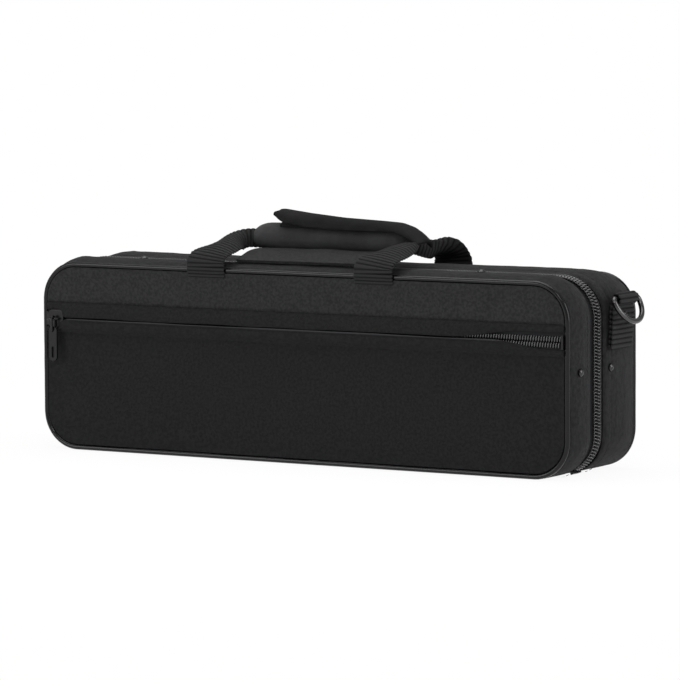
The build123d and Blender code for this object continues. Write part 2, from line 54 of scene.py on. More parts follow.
MM = 0.001
HALF = 210 * MM
HEIGHT = 132 * MM
CORNER = 27 * MM
FRONT, BACK = -48 * MM, 48 * MM
ZIP_Y = -9 * MM
LID_HEM, BASE_HEM = -19 * MM, 1 * MM
SEAM_IN = 3.75 * MM
LOW_SEAM, HIGH_SEAM = 4.05 * MM, HEIGHT - SEAM_IN
FRONT_SEAM, BACK_SEAM = FRONT + SEAM_IN, BACK - SEAM_IN
TOP = HALF - CORNER
ARC = CORNER * math.pi / 2
SIDE = HEIGHT - 2 * CORNER
LOW_CORNER = TOP + ARC + SIDE
HALF_GIRTH = 2 * TOP + 2 * ARC + SIDE
CHAIN_END = LOW_CORNER + CORNER * math.radians(69)
TEETH_END = LOW_CORNER + CORNER * math.radians(64)
HEM_ROW = 6.5 * MM
TAPE_SINK = 1.6 * MM
ZIP_GAP = 0.8 * MM
WELT_RADIUS = 1.8 * MM
WELT_PIECES = 340
STITCH_GAP = 0.9 * MM
PANEL_IN = 0.8 * MM
LINING_Y = -44.9 * MM
POCKET_Z = 92 * MM
POCKET_ZIP_Y = -46.8 * MM
TAB_Y = 18 * MM
GRIP_Y, GRIP_Z = -1 * MM, 152 * MM
GRIP_HALF = 62.5 * MM
STRAP_Y = 49.05 * MM
STRAP_WIDTH = 30 * MM
FLAP_LEFT, FLAP_RIGHT, FLAP_ROUND = -41 * MM, 75 * MM, 32 * MM
TONGUE_HALF, TONGUE_OUT = 55.5 * MM, 24 * MM


# ---- selecting and shaping ----


def clear_selection():
    """Leave edit mode and select nothing."""
    if bpy.context.object and bpy.context.object.mode != "OBJECT":
        done()
    bpy.ops.object.select_all(action="DESELECT")


def make_active(obj):
    """Select one object alone."""
    clear_selection()
    obj.select_set(True)
    bpy.context.view_layer.objects.active = obj


def settle(obj):
    """Put an object's place, turn and size into its mesh."""
    make_active(obj)
    bpy.ops.object.transform_apply(location=True, rotation=True, scale=True)
    return obj


def primitive(operator, name, **settings):
    """Add a primitive at its place, turn and size, and put those into its mesh."""
    clear_selection()
    operator(**settings)
    obj = bpy.context.object
    obj.name = name
    return settle(obj)


def pick(obj, kind, test):
    """In edit mode, select the faces or edges that pass test(place, way); True if there are any."""
    make_active(obj)
    mesh = obj.data
    points = mesh.vertices
    for items in (points, mesh.edges, mesh.polygons):
        items.foreach_set("select", [False] * len(items))
    if kind == "FACE":
        items, looks = mesh.polygons, [(face.center, face.normal) for face in mesh.polygons]
    else:
        ends = [[points[i].co for i in edge.vertices] for edge in mesh.edges]
        items, looks = mesh.edges, [((a + b) / 2, (b - a).normalized()) for a, b in ends]
    chosen = [bool(test(*look)) for look in looks]
    bpy.context.tool_settings.mesh_select_mode = (False, kind == "EDGE", kind == "FACE")
    items.foreach_set("select", chosen)
    bpy.ops.object.mode_set(mode="EDIT")
    return any(chosen)


def done():
    """Back to object mode."""
    bpy.ops.object.mode_set(mode="OBJECT")


def edit_all(obj, operator, *rounds):
    """Run an edit operator on a whole mesh, once for each set of settings."""
    make_active(obj)
    bpy.ops.object.mode_set(mode="EDIT")
    for settings in rounds:
        bpy.ops.mesh.select_all(action="SELECT")
        operator(**settings)
    done()
    return obj


def outward(obj):
    """Point the normals of a closed mesh outwards."""
    return edit_all(obj, bpy.ops.mesh.normals_make_consistent, {"inside": False})


def merge_close(obj, distance=0.02 * MM):
    """Merge points that lie together, such as the two ends of a ring."""
    return edit_all(obj, bpy.ops.mesh.remove_doubles, {"threshold": distance})


def slice_along(obj, axis, places):
    """Cut loops through the whole mesh at places along an axis."""
    normal = Vector([float(i == axis) for i in range(3)])
    edit_all(obj, bpy.ops.mesh.bisect, *({"plane_co": normal * place, "plane_no": normal} for place in places))


def keep_faces(obj, test):
    """Delete the faces that fail a test."""
    if pick(obj, "FACE", lambda place, normal: not test(place, normal)):
        bpy.ops.mesh.delete(type="FACE")
    done()


def steps(low, high, size):
    """Evenly spaced places between two ends, about size apart, without the ends."""
    count = max(1, round((high - low) / size))
    return [low + (high - low) * i / count for i in range(1, count)]


def rounded_box(name, low, high, radius, segments=14):
    """A box between two corners with its four long edges along Y rounded."""
    obj = primitive(bpy.ops.mesh.primitive_cube_add, name, size=1, scale=[b - a for a, b in zip(low, high)],
                    location=[(a + b) / 2 for a, b in zip(low, high)])
    pick(obj, "EDGE", lambda place, way: abs(way.y) > 0.9)
    bpy.ops.mesh.bevel(offset=radius, segments=segments, affect="EDGES")
    done()
    return obj


def add_modifier(obj, kind, **settings):
    """Add a modifier and apply it."""
    make_active(obj)
    modifier = obj.modifiers.new(kind.lower(), kind)
    for key, value in settings.items():
        setattr(modifier, key, value)
    bpy.ops.object.modifier_apply(modifier=modifier.name)
    return obj


def thicken(obj, thickness, offset=-1, even=False):
    """Give a cloth its thickness."""
    return add_modifier(obj, "SOLIDIFY", thickness=thickness, offset=offset, use_even_offset=even)


def rows_of(obj, count, step, merge=False):
    """Repeat a piece along X."""
    return add_modifier(obj, "ARRAY", count=count, use_relative_offset=False, use_constant_offset=True,
                        constant_offset_displace=(step, 0, 0), use_merge_vertices=merge, merge_threshold=0.02 * MM)


def smooth(obj, angle=50):
    """Shade smooth except at edges sharper than an angle."""
    make_active(obj)
    bpy.ops.object.shade_smooth_by_angle(angle=math.radians(angle))
    return obj


def join(name, objects):
    """Join objects into one."""
    make_active(objects[0])
    for obj in objects:
        obj.select_set(True)
    bpy.ops.object.join()
    obj = bpy.context.object
    obj.name = name
    return obj


def reshape(obj, rule):
    """Move each vertex to the place that rule(x, y, z) gives."""
    for vertex in obj.data.vertices:
        vertex.co = rule(*vertex.co)
    obj.data.update()
    return obj


def move(obj, way):
    """Move a mesh."""
    obj.data.transform(Matrix.Translation(way))
    return obj


def turn(obj, angle):
    """Turn a mesh about Z, in degrees."""
    obj.data.transform(Matrix.Rotation(math.radians(angle), 4, "Z"))
    return obj


def lay_cloth(obj, flat):
    """Write a UV map from flat(point) in metres, so that a weave keeps its true size."""
    mesh = obj.data
    layer = mesh.uv_layers.active or mesh.uv_layers.new(name="cloth")
    for loop, corner in zip(mesh.loops, layer.data):
        corner.uv = flat(mesh.vertices[loop.vertex_index].co)
    return obj


def between(table, place):
    """The value at a place in a table of (place, value), by straight lines."""
    for (low, a), (high, b) in zip(table, table[1:]):
        if place <= high:
            return a + (b - a) * max(0.0, place - low) / (high - low)
    return table[-1][1]


def ease(place, low, high):
    """0 at low and 1 at high, which are in millimetres, and smooth between; low may be the greater."""
    t = min(1.0, max(0.0, (place - low * MM) / (high * MM - low * MM)))
    return t * t * (3 - 2 * t)


def bell(place, middle, reach, power=2):
    """1 at the middle, fading within a reach to both sides; both are in millimetres."""
    return math.exp(-(((place - middle * MM) / (reach * MM)) ** power))


def lump(point, scale, size):
    """Smooth seeded unevenness, size metres at most, for features scale millimetres apart."""
    return size * noise.noise(Vector(point) / (scale * MM) + Vector((7.3, 2.1, 5.9)))


# ---- materials ----


def maths(operation, turned=False, **settings):
    """A method that adds a Math node; turned puts the other number first, for the reflected forms."""

    def method(self, *others):
        node = self.paint.add("Math", {"operation": operation, **settings})
        for place, value in zip(node.inputs, (*others, self) if turned else (self, *others)):
            self.paint.feed(place, value)
        return self.paint.out(node)

    return method


class Value:
    """A number in a material's maths: a socket, on which Python's operators add Math nodes."""

    def __init__(self, paint, socket):
        self.paint = paint
        self.socket = socket

    __add__, __radd__ = maths("ADD"), maths("ADD", True)
    __sub__, __rsub__ = maths("SUBTRACT"), maths("SUBTRACT", True)
    __mul__, __rmul__ = maths("MULTIPLY"), maths("MULTIPLY", True)
    __pow__ = maths("POWER")
    sine, size, most = maths("SINE"), maths("ABSOLUTE"), maths("MAXIMUM")
    add_clamped = maths("ADD", use_clamp=True)

    def clamp(self):
        """Held between 0 and 1."""
        return self.add_clamped(0.0)

    def fade(self, low, high):
        """0 below low, 1 above high and smooth between."""
        settings = {"interpolation_type": "SMOOTHSTEP"}
        return self.paint.out(self.paint.add("MapRange", settings, Value=self, From_Min=low, From_Max=high))


class Paint:
    """A material of one colour, and its nodes."""

    def __init__(self, name, color):
        self.material = bpy.data.materials.new(name)
        self.material.use_nodes = True
        self.tree = self.material.node_tree
        self.shader = self.tree.nodes["Principled BSDF"]
        self.color = color

    def feed(self, place, value):
        if isinstance(value, Value):
            self.tree.links.new(value.socket, place)
        else:
            place.default_value = value

    def add(self, kind, settings=None, **sockets):
        """Add a node: its settings first, then the values or links of its sockets."""
        node = self.tree.nodes.new("ShaderNode" + kind)
        for key, value in (settings or {}).items():
            setattr(node, key, value)
        for key, value in sockets.items():
            self.feed(node.inputs[key.replace("_", " ")], value)
        return node

    def out(self, node, name=0):
        return Value(self, node.outputs[name])

    def cloth_axes(self):
        """The two lengths of the cloth's own UV map, in metres."""
        node = self.add("SeparateXYZ", Vector=self.out(self.add("UVMap"), "UV"))
        return self.out(node, "X"), self.out(node, "Y")

    def place(self):
        return self.out(self.add("TexCoord"), "Object")

    def speckle(self, scale, detail=3.0, rough=0.55, stretch=(1, 1, 1)):
        """Noise from 0 to 1, with scale in features per metre."""
        mapping = self.add("Mapping", Vector=self.place(), Scale=stretch)
        node = self.add("TexNoise", Vector=self.out(mapping), Scale=scale, Detail=detail, Roughness=rough)
        return self.out(node, "Fac")

    def shade(self, factor):
        """The material's colour, lighter or darker."""
        return (*(channel * factor for channel in self.color), 1.0)

    def mix(self, amount, low, high):
        """A colour between two; a number stands for the material's colour times that number."""
        node = self.add("Mix", {"data_type": "RGBA"})
        for place, value in ((0, amount), (6, low), (7, high)):
            self.feed(node.inputs[place], self.shade(value) if isinstance(value, (int, float)) else value)
        return self.out(node, 2)

    def bump(self, height, distance, strength, normal=None):
        """The normal over a height, with its distance in millimetres."""
        node = self.add("Bump", Height=height, Distance=distance * MM, Strength=strength)
        if normal:
            self.feed(node.inputs["Normal"], normal)
        return self.out(node)

    def finish(self, color, rough, normal=None, metallic=None, gloss=None, **others):
        """Link what changes over the surface and set what doesn't."""
        inputs = {"Base Color": color, "Roughness": rough, "Normal": normal, "Metallic": metallic,
                  "Specular IOR Level": gloss, **others}
        for name, value in inputs.items():
            if value is not None:
                self.feed(self.shader.inputs[name.replace("_", " ")], value)


def ribs(across, pitch):
    """Round ribs, pitch millimetres apart, from 0 in the valleys to 1 on the crowns."""
    return (across * (math.pi / (pitch * MM))).sine().size()


def make_nylon(paint, thread, wave, hem=None, lip=None, grain=(1, 1, 1)):
    """Close-woven nylon: threads, mottle, a duller strip below a hem, and at a lip's height a painted highlight along
    the fold with a painted shadow just under it.
    """
    mottle = paint.speckle(70, 5, 0.65).fade(0.3, 0.7)
    fleck = paint.speckle(520, 3, 0.6, grain).fade(0.36, 0.64)
    u, v = ((axis * (math.pi / thread)).sine() for axis in paint.cloth_axes())
    over = (u * v).fade(-0.2, 0.2)
    height = (over * u.size() ** 0.6 + (1 - over) * v.size() ** 0.6) * (0.75 + paint.speckle(900) * 0.5)
    normal = paint.bump(height, 0.16, 0.8, paint.bump(paint.speckle(130, 3, 0.5), wave, 0.6))
    tone = (height * 0.25 + mottle * 0.18 + fleck * 0.45 + paint.speckle(9, 2, 0.5) * 0.12).clamp()
    tint = paint.mix(tone, 0.35, 1.7)
    if hem or lip:
        up = paint.out(paint.add("SeparateXYZ", Vector=paint.place()), "Z")
    if hem:
        tint = paint.mix(up.fade(hem - 0.6 * MM, hem + 0.6 * MM), paint.mix(tone, 0.15, 0.9), tint)
    if lip:
        # Painted light at the lip: a painted highlight along the fold's top edge, and a painted shadow band just under
        # it.
        edge = up.fade(lip - 1.9 * MM, lip - 1.3 * MM)
        under = up.fade(lip - 3.6 * MM, lip - 2.6 * MM) * (1 - edge)
        tint = paint.mix(edge * 0.9, paint.mix(under * 0.4, tint, 0.3), 4.5)
    paint.finish(tint, 0.80 + mottle * 0.12 - height * 0.05, normal, gloss=0.14, Sheen_Weight=0.03,
                 Sheen_Roughness=0.5)


def make_padded_nylon(paint, gloss):
    """Close-woven nylon over padding, its weave laid by place because the pad has no cut pattern."""
    mottle = paint.speckle(45, 5, 0.6)
    threads = paint.speckle(1500, 2, 0.5, (0.35, 1, 1)) + paint.speckle(1500, 2, 0.5, (1, 0.35, 1))
    normal = paint.bump(threads, 0.14, 0.8, paint.bump(paint.speckle(120, 3, 0.5), 0.3, 0.6))
    tint = paint.mix((threads * 0.25 + mottle.fade(0.3, 0.7) * 0.5).clamp(), 0.6, 1.6)
    paint.finish(tint, 0.78 + mottle * 0.14, normal, gloss=gloss, Sheen_Weight=gloss * 0.3, Sheen_Roughness=0.5)


def make_webbing(paint, pitch):
    """Ribbed webbing: thick cross ribs are in the mesh; here the ribs' crowns are painted lighter and their valleys
    darker as painted light and shade, with fine threads.
    """
    u, v = paint.cloth_axes()
    crown = ribs(u, pitch / MM).fade(0.15, 0.95)
    mottle = paint.speckle(60, 4, 0.6)
    height = ribs(v, 0.55) * 0.6 + ribs(u + v * 0.5, 0.42) * 0.4
    # Painted light and shade: rib crowns lighter, rib valleys darker; the mottle is random tone.
    tint = paint.mix((crown * 0.62 + height * 0.18 + mottle * 0.2).clamp(), 0.12, 2.3)
    paint.finish(tint, 0.62 + mottle * 0.16 + 0.14 * (1 - crown), paint.bump(height, 0.16, 0.8), gloss=0.2)


def make_vinyl(paint):
    """Smooth vinyl with a faint grain, and patches at random that are lighter and rougher."""
    grain = paint.speckle(1100, 3, 0.6)
    worn = paint.speckle(22, 4, 0.65)
    normal = paint.bump(grain, 0.05, 0.5, paint.bump(paint.speckle(160, 2, 0.5), 0.25, 0.5))
    paint.finish(paint.mix(worn.fade(0.35, 0.75), 0.85, 1.25), 0.10 + worn * 0.09 + grain * 0.04, normal, gloss=0.27)


def make_twill(paint):
    """Zip tape: a fine twill with raised lines at a slant."""
    u, v = paint.cloth_axes()
    mottle = paint.speckle(70, 4, 0.6)
    height = ribs(u + v, 0.7) * 0.7 + ribs(u - v, 0.35) * 0.3
    tint = paint.mix((height * 0.5 + mottle * 0.5).clamp(), 0.7, 1.35)
    paint.finish(tint, 0.78 + mottle * 0.12, paint.bump(height, 0.12, 0.7), gloss=0.25)


def make_coil(paint):
    """Drawn nylon monofilament: smooth, with faint scuffs on the crowns."""
    scuff = paint.speckle(420, 4, 0.7, (1, 3, 1))
    tint = paint.mix(scuff.fade(0.4, 0.8), 0.9, 1.5)
    paint.finish(tint, 0.09 + scuff * 0.10, paint.bump(scuff, 0.04, 0.5), gloss=1.0)


def make_enamel(paint, bare):
    """Enamelled cast metal: fine orange peel, with a few spots rubbed nearer to the metal."""
    peel = paint.speckle(700, 3, 0.5)
    rubbed = paint.speckle(260, 5, 0.7).fade(0.62, 0.78)
    tint = paint.mix(rubbed * 0.6, 1.0, (bare, bare, bare, 1.0))
    paint.finish(tint, 0.24 + peel * 0.12 - rubbed * 0.06, paint.bump(peel, 0.05, 0.5), 0.6 + rubbed * 0.35, 0.35,
                 Coat_Weight=0.12)


def make_steel(paint):
    """Polished steel with fine scratches and cloudy patches."""
    scratch = paint.speckle(2600, 2, 0.5, (1, 1, 9))
    cloud = paint.speckle(300, 3, 0.6)
    paint.finish(paint.mix(cloud, 0.75, 1.1), 0.14 + scratch * 0.12 + cloud * 0.08, paint.bump(scratch, 0.03, 0.5), 1.0)


def make_plush(paint):
    """Short plush: tufts that lie in patches, so that the pile looks brushed."""
    tuft = paint.speckle(1500, 4, 0.75)
    brushed = paint.speckle(46, 4, 0.6, (1, 1, 0.4))
    normal = paint.bump(tuft, 0.9, 0.7, paint.bump(brushed, 1.2, 0.5))
    paint.finish(paint.mix((tuft * 0.5 + brushed * 0.5).clamp(), 0.5, 1.7), 0.86 + tuft * 0.1, normal, gloss=0.12,
                 Sheen_Weight=0.25, Sheen_Roughness=0.4)


def make_hook_tape(paint, pile):
    """Hook or loop tape: rows of hooks, or a tangle of loops where pile is 1."""
    u, v = paint.cloth_axes()
    fuzz = paint.speckle(1900, 4, 0.8)
    height = ribs(u, 1.1) * ribs(v, 1.3) * (1 - pile) + fuzz * (0.25 + 0.75 * pile)
    paint.finish(paint.mix(height.clamp(), 0.5, 1.8), 0.6 + 0.3 * pile + fuzz * 0.08, paint.bump(height, 0.6, 0.8),
                 gloss=0.3)


def make_board(paint):
    """Pressed foam board: fine beads with a dull skin."""
    beads = paint.out(paint.add("TexVoronoi", Vector=paint.place(), Scale=420.0), "Distance")
    paint.finish(paint.mix(beads.clamp(), 1.15, 0.7), 0.7 + beads * 0.2, paint.bump(1 - beads, 0.2, 0.6), gloss=0.3)


def make_thread(paint):
    """Twisted sewing thread."""
    ply = paint.speckle(1400, 3, 0.6)
    paint.finish(paint.mix(ply, 0.7, 1.6), 0.5 + ply * 0.2, paint.bump(ply, 0.1, 0.7), gloss=0.4)


paints = {}


def finish_named(name):
    """The material of one finish, made when it is first asked for."""
    if name not in paints:
        sizes = bpy.context.scene.case_sizes
        make, title, color, factor, *rest = {
            "nylon": (make_nylon, "case nylon", "nylon", 1, sizes.thread, 0.3),
            # The pocket's cloth: a painted highlight and a painted shadow at its lip.
            "pocket nylon": (make_nylon, name, "nylon", 1, sizes.thread, 0.3, None, POCKET_Z + 1.0 * MM),
            # Side bands: the case nylon painted 1.6 times lighter, a painted sheen for how light falls on the bands.
            "band nylon": (make_nylon, name, "nylon", 1.6, sizes.thread, 0.5, None, None, (0.6, 1, 0.6)),
            "header nylon": (make_nylon, name, "header", 1, sizes.thread, 0.3, POCKET_Z + 11.6 * MM),
            "grip nylon": (make_padded_nylon, name, "padding", 1, 0.16),
            # The flap: the grip's own cloth painted about a third as light, painted shade for the flap's shaded face.
            "flap nylon": (make_padded_nylon, name, "padding", 0.36, 0.04),
            "webbing": (make_webbing, name, "webbing", 1, sizes.rib_pitch),
            "vinyl": (make_vinyl, "welt vinyl", "vinyl", 1),
            "tape": (make_twill, "zip tape twill", "tape", 1),
            "coil": (make_coil, "zip coil nylon", "coil", 1),
            "enamel": (make_enamel, "dark enamel", "enamel", 1, 0.16),
            "steel": (make_steel, "rivet steel", "steel", 1),
            "ring steel": (make_steel, name, "steel", 1.6),
            "plush": (make_plush, name, "plush", 1),
            "hook": (make_hook_tape, "hook tape", "tape", 1, 0.0),
            "loop": (make_hook_tape, "loop tape", "tape", 1, 1.0),
            "thread": (make_thread, "sewing thread", "thread", 1),
            "board": (make_board, "tray board", "board", 1),
        }[name]
        paint = Paint(title, [channel * factor for channel in getattr(bpy.context.scene.case_colors, color)])
        make(paint, *rest)
        paints[name] = paint.material
    return paints[name]


def dress(obj, finish, slot, body, *nodes):
    """Give a finished piece its material, its body and the nodes that it stands for."""
    if "UVMap" in obj.data.uv_layers:
        obj.data.uv_layers["UVMap"].name = "cloth"
    obj.data.materials.clear()
    obj.data.materials.append(finish_named(finish))
    obj.data.update()
    if nodes:
        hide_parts(*nodes)
    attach(obj, body)
    return obj


# ---- sizes and colours that a user would change ----


def length_setting(name, description, default, low, high, digits=4):
    """A length's property, its numbers given in millimetres."""
    return bpy.props.FloatProperty(name=name, description=description, default=default * MM, min=low * MM,
                                   max=high * MM, unit="LENGTH", precision=digits)


def color_setting(name, description, grey, blue):
    """A colour's property: its red and green are alike."""
    return bpy.props.FloatVectorProperty(name=name, description=description, default=(grey, grey, blue), size=3,
                                         min=0, max=1, subtype="COLOR")


class CaseSizes(bpy.types.PropertyGroup):
    """Lengths of the cloth details."""

    rib_pitch: length_setting("Rib pitch", "Distance between the webbing's cross ribs", 2.6, 1, 6)
    tooth_pitch: length_setting("Main zip pitch", "Distance between the main zip's turns", 2.2, 1.5, 5)
    pocket_pitch: length_setting("Pocket zip pitch", "Distance between the pocket zip's turns", 2.0, 1, 4)
    stitch: length_setting("Stitch length", "Length of one sewn stitch", 2.6, 1, 6)
    thread: length_setting("Weave", "Distance between the nylon's threads", 0.5, 0.2, 2, 5)
    wrinkle: length_setting("Wrinkles", "Height of the cloth's soft wrinkles", 0.35, 0, 2, 5)


class CaseColors(bpy.types.PropertyGroup):
    """Colours of the case's materials."""

    nylon: color_setting("Nylon", "Woven cloth of the sides and panels", 0.0088, 0.0093)
    header: color_setting("Header nylon", "Woven cloth above the pocket", 0.0185, 0.0192)
    padding: color_setting("Grip nylon", "Cloth of the padded grip and its flap", 0.032, 0.0333)
    webbing: color_setting("Webbing", "Straps, feet and ring tabs", 0.0088, 0.0093)
    vinyl: color_setting("Vinyl", "Welt cord round the faces", 0.0045, 0.0048)
    tape: color_setting("Zip tape", "Woven tapes of the zips", 0.010, 0.011)
    coil: color_setting("Coil", "Teeth of the zips", 0.022, 0.023)
    enamel: color_setting("Enamel", "Sliders and pulls", 0.012, 0.0125)
    steel: color_setting("Steel", "Rivets and rings", 0.06, 0.061)
    plush: color_setting("Plush", "Lining and cradle", 0.020, 0.023)
    thread: color_setting("Thread", "Sewing thread", 0.012, 0.013)
    board: color_setting("Board", "Stiff trays under the cloth", 0.05, 0.052)


# ---- cloth, stitches and webbing ----


def girth(s):
    """Point and outward way on the case's outline, s metres from the middle of the top towards the right end."""
    sign = 1 if s >= 0 else -1
    s = abs(s)
    for start, z, lead in ((TOP, HEIGHT - CORNER, 0.0), (LOW_CORNER, CORNER, math.pi / 2)):
        if start <= s < start + ARC:
            angle = lead + (s - start) / CORNER
            way_x, way_z = math.sin(angle), math.cos(angle)
            return sign * (TOP + CORNER * way_x), z + CORNER * way_z, sign * way_x, way_z
    if s < TOP:
        return sign * s, HEIGHT, 0.0, 1.0
    if s < LOW_CORNER:
        return sign * HALF, HEIGHT - CORNER - (s - TOP - ARC), float(sign), 0.0
    return sign * max(0.0, HALF_GIRTH - s), 0.0, 0.0, -1.0


def wrap(obj, ground=0.0):
    """Carry a piece laid out flat, with X along the girth and Z outward, round the case."""

    def place(s, y, h):
        x, z, way_x, way_z = girth(s)
        return x + way_x * h, y, max(z + way_z * h, ground)

    return reshape(obj, place)


def stand(obj, y, z):
    """Turn a piece laid out flat in X and Y to face the front, at depth y, its Y = 0 at height z."""
    return reshape(obj, lambda a, b, c: (a, y - c, z + b))


def flat_cloth(name, x, y, step_x, step_y):
    """A flat grid between two X and two Y, with its UV map in metres."""
    wide, deep = x[1] - x[0], y[1] - y[0]
    obj = primitive(bpy.ops.mesh.primitive_grid_add, name, x_subdivisions=max(1, round(wide / step_x)),
                    y_subdivisions=max(1, round(deep / step_y)), size=1)
    obj.scale = (wide, deep, 1)
    obj.location = ((x[0] + x[1]) / 2, (y[0] + y[1]) / 2, 0)
    return lay_cloth(settle(obj), lambda point: (point.x, point.y))


def stitches(name, x, y, height, length=None, gap=STITCH_GAP, thread=0.55 * MM):
    """A row of sewn stitches along X, flat on the cloth."""
    length = length or bpy.context.scene.case_sizes.stitch
    pitch = length + gap
    count = max(1, int((x[1] - x[0]) / pitch))
    stitch = primitive(bpy.ops.mesh.primitive_uv_sphere_add, name, segments=6, ring_count=5, radius=0.5,
                       rotation=(0, math.pi / 2, 0), scale=(thread * 0.8, thread, length))
    move(stitch, (x[0] + pitch / 2 + ((x[1] - x[0]) - count * pitch) / 2, y, height))
    return smooth(rows_of(stitch, count, pitch), 80)


def rib(name, width, thickness, pitch, depth):
    """One cross rib of webbing, pitch long along X, with the selvedges' thin edges; it joins its neighbours."""
    obj = primitive(bpy.ops.mesh.primitive_cube_add, name, size=1, scale=(pitch, width, thickness))
    half = width / 2
    slice_along(obj, 0, [pitch * part for part in (-0.4, -0.25, 0, 0.25, 0.4)])
    slice_along(obj, 1, [-half + 0.5 * MM, -half + 1.5 * MM, -half / 2, 0, half / 2, half - 1.5 * MM, half - 0.5 * MM])
    keep_faces(obj, lambda place, way: abs(way.x) < 0.5)

    def place(x, y, z):
        valley = abs(x / pitch * 2) ** 2.2
        thin = 1 - min(1.0, (half - abs(y)) / (0.9 * MM))
        z -= math.copysign(depth * valley + 0.3 * MM * thin, z)
        return x, y - math.copysign(0.3 * MM * valley, y) * thin, z

    return reshape(obj, place)


def webbing(name, length, pitch, depth=0.5 * MM):
    """A straight length of ribbed webbing along X from 0, with its ends closed."""
    count = max(2, round(length / pitch))
    step = length / count
    strip = move(rib(name, STRAP_WIDTH, 1.8 * MM, step, depth), (step / 2, 0, 0))
    rows_of(strip, count, step, merge=True)
    for end in (0.0, length):
        pick(strip, "EDGE", lambda place, way: abs(place.x - end) < 0.01 * MM)
        bpy.ops.mesh.edge_face_add()
        done()
    stretch = count * bpy.context.scene.case_sizes.rib_pitch / length
    return lay_cloth(strip, lambda point: (point.x * stretch, point.y))


def smooth_path(points, count=160):
    """Evenly spaced points on a smooth open curve through a few points, by Catmull and Rom's rule."""
    points = [Vector(point) for point in points]
    ends = [2 * points[0] - points[1], *points, 2 * points[-1] - points[-2]]
    fine = []
    for a, b, c, d in zip(ends, ends[1:], ends[2:], ends[3:]):
        for t in (i / 24 for i in range(24)):
            fine.append(0.5 * (2 * b + (c - a) * t + (2 * a - 5 * b + 4 * c - d) * t ** 2
                               + (3 * b - a - 3 * c + d) * t ** 3))
    fine.append(points[-1])
    lengths = [0.0]
    for a, b in zip(fine, fine[1:]):
        lengths.append(lengths[-1] + (b - a).length)
    even, spot = [], 0
    for i in range(count):
        reach = lengths[-1] * i / (count - 1)
        while spot < len(lengths) - 2 and lengths[spot + 1] < reach:
            spot += 1
        span = lengths[spot + 1] - lengths[spot] or 1.0
        even.append(fine[spot].lerp(fine[spot + 1], (reach - lengths[spot]) / span))
    return even, lengths[-1]


def follow(obj, path, length, side):
    """Bend a piece that lies along X to follow a path; side(t) is the way its Y points at t from 0 to 1."""
    last = len(path) - 1

    def place(x, y, z):
        t = min(max(x / length, 0.0), 1.0) * last
        i = min(int(t), last - 1)
        ahead = (path[min(i + 2, last)] - path[max(i - 1, 0)]).normalized()
        across = Vector(side(t / last))
        across = (across - ahead * across.dot(ahead)).normalized()
        return path[i].lerp(path[i + 1], t - i) + across * y + ahead.cross(across) * z

    return reshape(obj, place)


# ---- side bands and face panels ----

BANDS = {"lid": (-1, LID_HEM, FRONT_SEAM), "base": (1, BASE_HEM, BACK_SEAM)}


def side_rise(y, hem, seam):
    """How far a side band stands out at a depth: it swells between its seam and its hem."""
    crest = (seam + hem) / 2
    out = 0.0
    for here, rise, a, b in ((hem, 0.3 * MM, crest, seam), (crest, 3 * MM, hem, seam), (seam, -0.6 * MM, hem, crest)):
        out += rise * (y - a) * (y - b) / ((here - a) * (here - b))
    return out


def side_band(name, hem, seam, hem_row):
    """One padded side band, sewn to its face at the seam and turned in beside the zip at the hem."""
    wrinkle = bpy.context.scene.case_sizes.wrinkle
    band = flat_cloth(name, (-HALF_GIRTH, HALF_GIRTH), sorted((hem, seam)), 3.2 * MM, 1.15 * MM)

    def place(s, y, _):
        bend = bell(abs(s), (TOP + ARC / 2) / MM, 0.7 * ARC / MM)
        free = min(1.0, abs(y - seam) / (3 * MM)) * min(1.0, abs(y - hem) / (4 * MM))
        soft = lump((s, y * 1.6, 0), 16, wrinkle) + lump((s, y * 1.6, 0), 46, wrinkle * 1.4)
        soft += bend * lump((s * 1.8, y * 0.5, 0.1), 9, wrinkle * 1.6)
        soft += lump((s * 0.3, y * 2.2, 0.4), 7, wrinkle * 0.7)
        rise = side_rise(y, hem, seam) + free * soft - 0.55 * MM * bell(y, hem_row / MM, 0.8)
        rise -= 1.3 * MM * max(0.0, 1 - abs(y - hem) / (1.5 * MM)) ** 2
        down = girth(s)[3]
        return s, y, rise if down > -0.2 else rise * max(0.0, 1 + down)

    return smooth(thicken(merge_close(wrap(reshape(band, place))), 2.1 * MM, even=True))


def face_sheet(name, face, low, high, grid, rows=()):
    """A cloth panel inside the welt cord between two heights, cut from a round-cornered block, with its own grid."""
    inner = face - math.copysign(5 * MM, face)
    panel = rounded_box(name, (-HALF + SEAM_IN, min(face, inner), LOW_SEAM),
                        (HALF - SEAM_IN, max(face, inner), HIGH_SEAM), CORNER - SEAM_IN)
    keep_faces(panel, lambda place, way: abs(way.y) > 0.9 and abs(place.y - face) < 0.1 * MM)
    for height, above in ((low, True), (high, False)):
        if LOW_SEAM < height < HIGH_SEAM:
            slice_along(panel, 2, [height])
            keep_faces(panel, lambda place, way: (place.z > height) == above)
    slice_along(panel, 0, steps(-HALF, HALF, grid))
    slice_along(panel, 2, [z for z in (*steps(low, high, grid), *rows) if low < z < high])
    return lay_cloth(panel, lambda point: (point.x, point.z))


class CASE_OT_sides(bpy.types.Operator):
    """Make the two padded side bands"""

    bl_idname = "case.sides"
    bl_label = "Side bands"

    def execute(self, context):
        for body, (side, hem, seam) in BANDS.items():
            band = side_band(f"{body}_side", hem, seam, hem + side * HEM_ROW)
            dress(band, "band nylon", "nylon_cloth", body, f"{body}_gusset")
        for body, (side, hem, seam) in BANDS.items():
            hem_row = hem + side * HEM_ROW
            row = stitches(f"{body}_side_stitches", (-HALF_GIRTH + 4 * MM, HALF_GIRTH - 4 * MM), hem_row,
                           side_rise(hem_row, hem, seam) - 0.45 * MM)
            dress(wrap(row, 0.2 * MM), "thread", "nylon_cloth", body)
        return {"FINISHED"}


